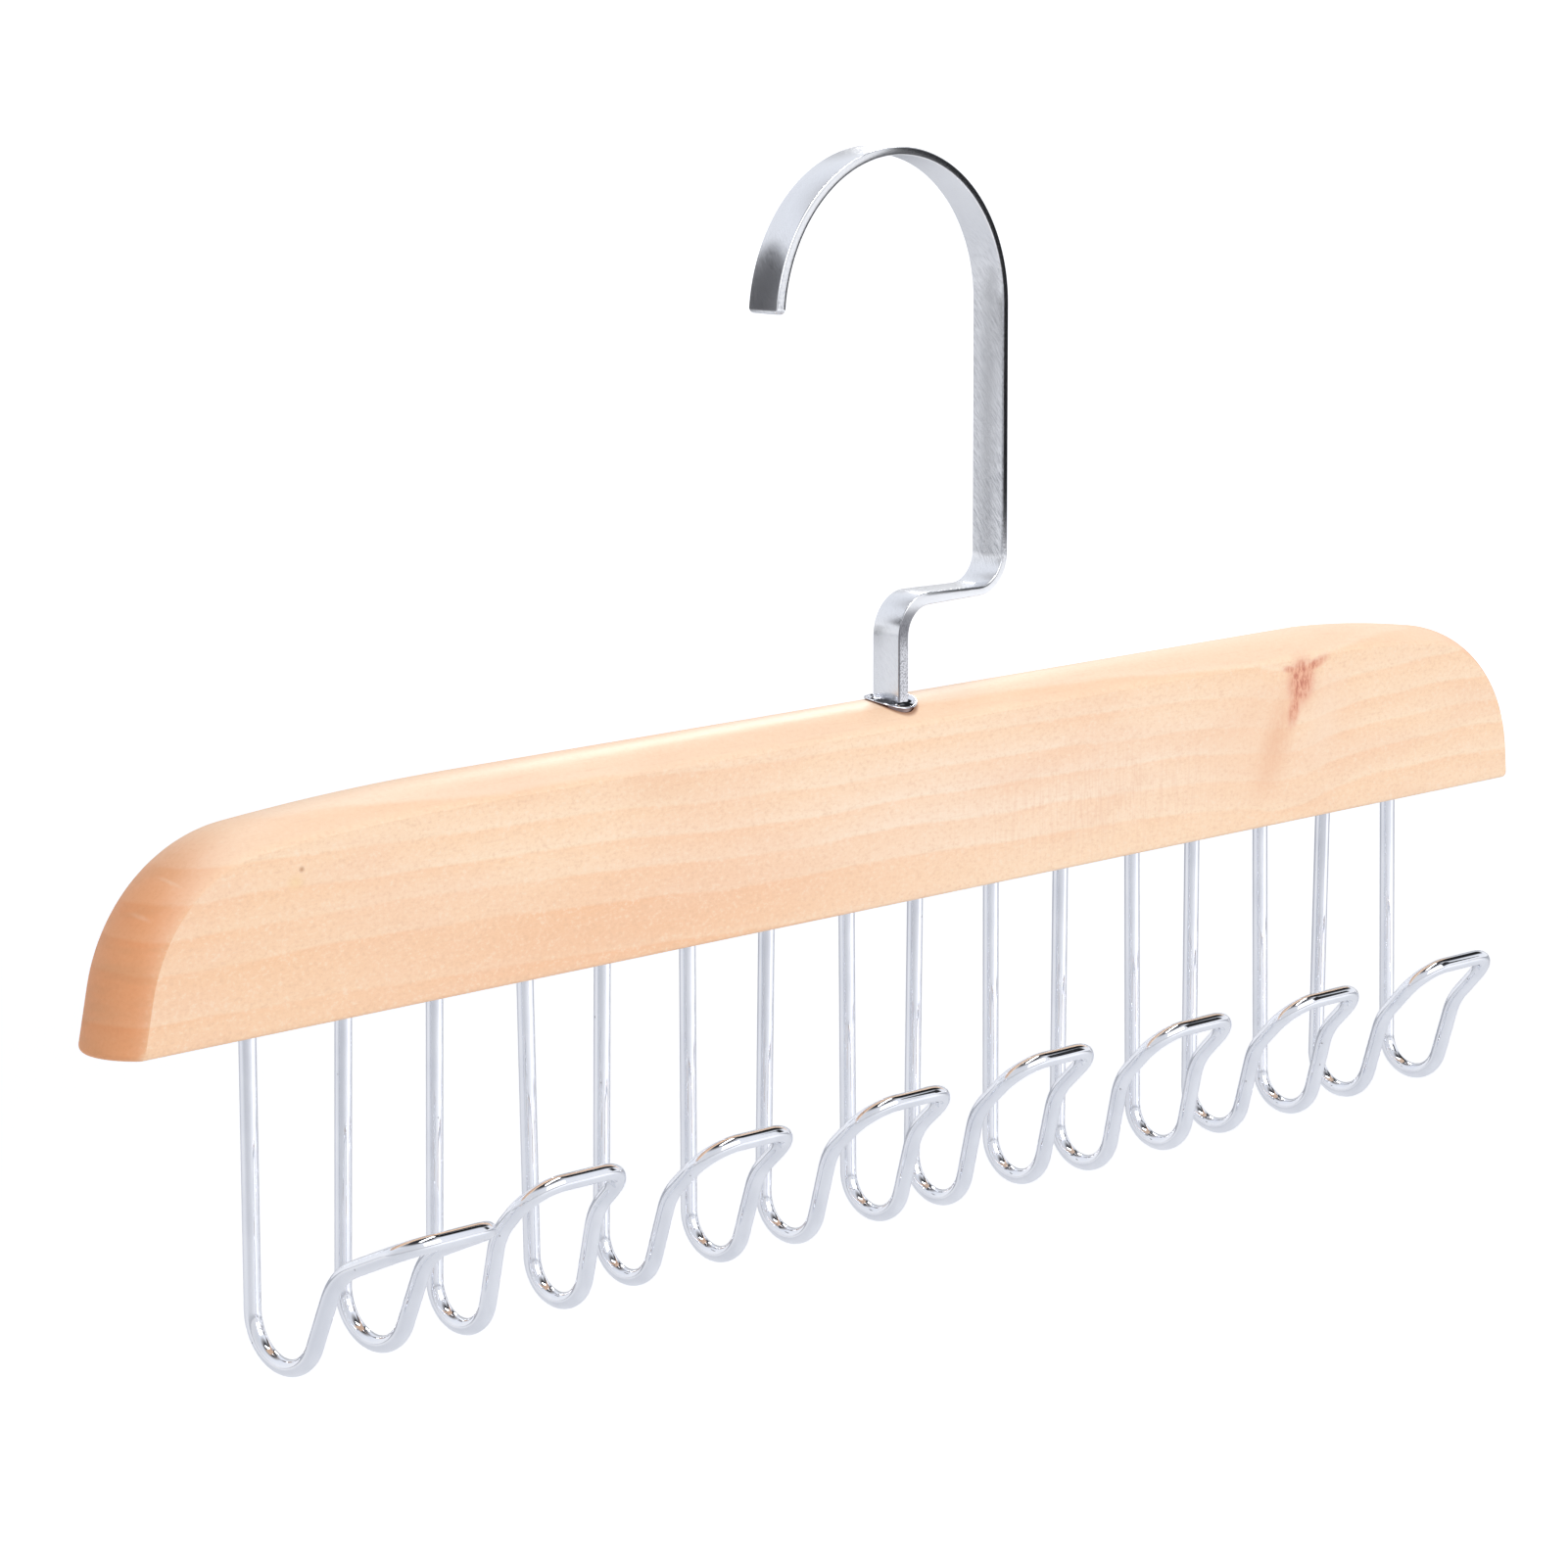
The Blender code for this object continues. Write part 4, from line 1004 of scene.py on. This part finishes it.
# The surround's light by height, from straight down (0) through level (0.5) to straight up (1)
SURROUND_STOPS = [(0.0, (0.90, 0.92, 0.97)), (0.50, (0.96, 0.97, 1.0)), (0.86, (0.86, 0.89, 0.96)),
                  (0.91, (0.50, 0.50, 0.52)), (0.96, (0.06, 0.06, 0.065)), (1.0, (0.03, 0.03, 0.035))]
# Its dimmer places, as azimuth and rise in degrees, cosines of the inner and outer reach, and level there
DIM_PLACES = [(205, 0, 0.95, 0.30, 0.80), (6, 44, 0.975, 0.890, 0.02), (45, 8, 0.98, 0.88, 0.60)]


def make_surround():
    """White all round, dimmer at the left and the back right, dark overhead and high on the right."""
    world = bpy.data.worlds.new("white_surround")
    bpy.context.scene.world = world
    world.use_nodes = True
    tree = world.node_tree
    tree.nodes.clear()
    way = put(tree, "TexCoord", output="Generated")
    up = put(tree, "SeparateXYZ", {0: way}, output="Z")
    ramp = tree.nodes.new("ShaderNodeValToRGB")
    tree.links.new(sum_up(tree, "MULTIPLY_ADD", up, 0.5, 0.5), ramp.inputs[0])
    while len(ramp.color_ramp.elements) < len(SURROUND_STOPS):
        ramp.color_ramp.elements.new(0.5)
    for stop, (place, colour) in zip(ramp.color_ramp.elements, SURROUND_STOPS):
        stop.position = place
        stop.color = (*colour, 1)
    light = ramp.outputs[0]
    for azimuth, rise, inner, outer, level in DIM_PLACES:
        azimuth, rise = math.radians(azimuth), math.radians(rise)
        towards = (math.cos(azimuth) * math.cos(rise), math.sin(azimuth) * math.cos(rise), math.sin(rise))
        facing = measure(tree, "DOT_PRODUCT", way, towards)
        level_there = fade(tree, facing, outer, inner, 1.0, level)
        light = put(tree, "VectorMath", {0: light, 3: level_there}, operation="SCALE")
    seen = put(tree, "LightPath", output="Is Camera Ray")
    light = blend_colour(tree, seen, light, (1, 1, 1, 1))
    background = tree.nodes.new("ShaderNodeBackground")
    tree.links.new(light, background.inputs["Color"])
    background.inputs["Strength"].default_value = 1.0
    output = tree.nodes.new("ShaderNodeOutputWorld")
    tree.links.new(background.outputs[0], output.inputs["Surface"])


def soft_box(name, place, aim, width, height, watts):
    """A rectangular lamp, turned towards what it is aimed at."""
    lamp = bpy.data.lights.new(name, "AREA")
    lamp.shape = "RECTANGLE"
    lamp.size = width
    lamp.size_y = height
    lamp.energy = watts
    box = bpy.data.objects.new(name, lamp)
    box.location = place
    box.rotation_euler = (Vector(aim) - Vector(place)).to_track_quat("-Z", "Y").to_euler()
    bpy.context.scene.collection.objects.link(box)


make_table()
make_card("dark_card", (0.2087, -0.2123), (0.300, -0.120), -0.110, 0.06, 0.03, 0.006)
make_card("edge_card", (0.1915, -0.2295), (0.1965, -0.2245), -0.100, -0.062, 0.10, 0.002)
make_card("tip_card", (-0.145, 0.069), (-0.060, 0.069), -0.052, 0.047, 0.10, 0.013)
make_card("stem_card", (-0.136, 0.139), (-0.111, 0.139), -0.116, -0.042, 0.06, 0.009)
make_surround()
soft_box("front_box", (0.10, -1.20, 0.45), (0, 0, -0.1), 1.2, 0.8, 6.0)
soft_box("top_box", (0.05, -0.10, 0.95), (0, 0, -0.1), 0.9, 0.16, 3.5)
soft_box("glow_box", (0.33, 0.27, 0.20), (-0.066, 0, -0.1), 0.10, 0.08, 0.70)


# Camera
# Stands off the bar's left front, a little above it, with a long lens as for a catalogue shot.
PHOTO_SIZE = 1601
FOCAL_PIXELS = 5416.534
SENSOR = 36.0
CAMERA_YAW = math.radians(45.261)
CAMERA_PITCH = math.radians(10.242)
CAMERA_ROLL = math.radians(-0.166)
CAMERA_PLACE = BAR_PLACE + Vector((-677.863, -647.283, 189.788)) * MM


def make_camera():
    lens = bpy.data.cameras.new("camera")
    lens.sensor_fit = "HORIZONTAL"
    lens.sensor_width = SENSOR
    lens.lens = SENSOR * FOCAL_PIXELS / PHOTO_SIZE
    lens.clip_start = 0.05
    lens.clip_end = 50.0
    ahead = Vector((math.sin(CAMERA_YAW) * math.cos(CAMERA_PITCH),
                    math.cos(CAMERA_YAW) * math.cos(CAMERA_PITCH), -math.sin(CAMERA_PITCH)))
    level = Vector((math.cos(CAMERA_YAW), -math.sin(CAMERA_YAW), 0))
    upright = level.cross(ahead)
    right = level * math.cos(CAMERA_ROLL) + upright * math.sin(CAMERA_ROLL)
    up = upright * math.cos(CAMERA_ROLL) - level * math.sin(CAMERA_ROLL)
    camera = bpy.data.objects.new("camera", lens)
    turn = Matrix((right, up, -ahead)).transposed()
    camera.matrix_world = Matrix.Translation(CAMERA_PLACE) @ turn.to_4x4()
    bpy.context.scene.collection.objects.link(camera)
    bpy.context.scene.camera = camera


make_camera()
bpy.context.scene.view_settings.view_transform = "Standard"
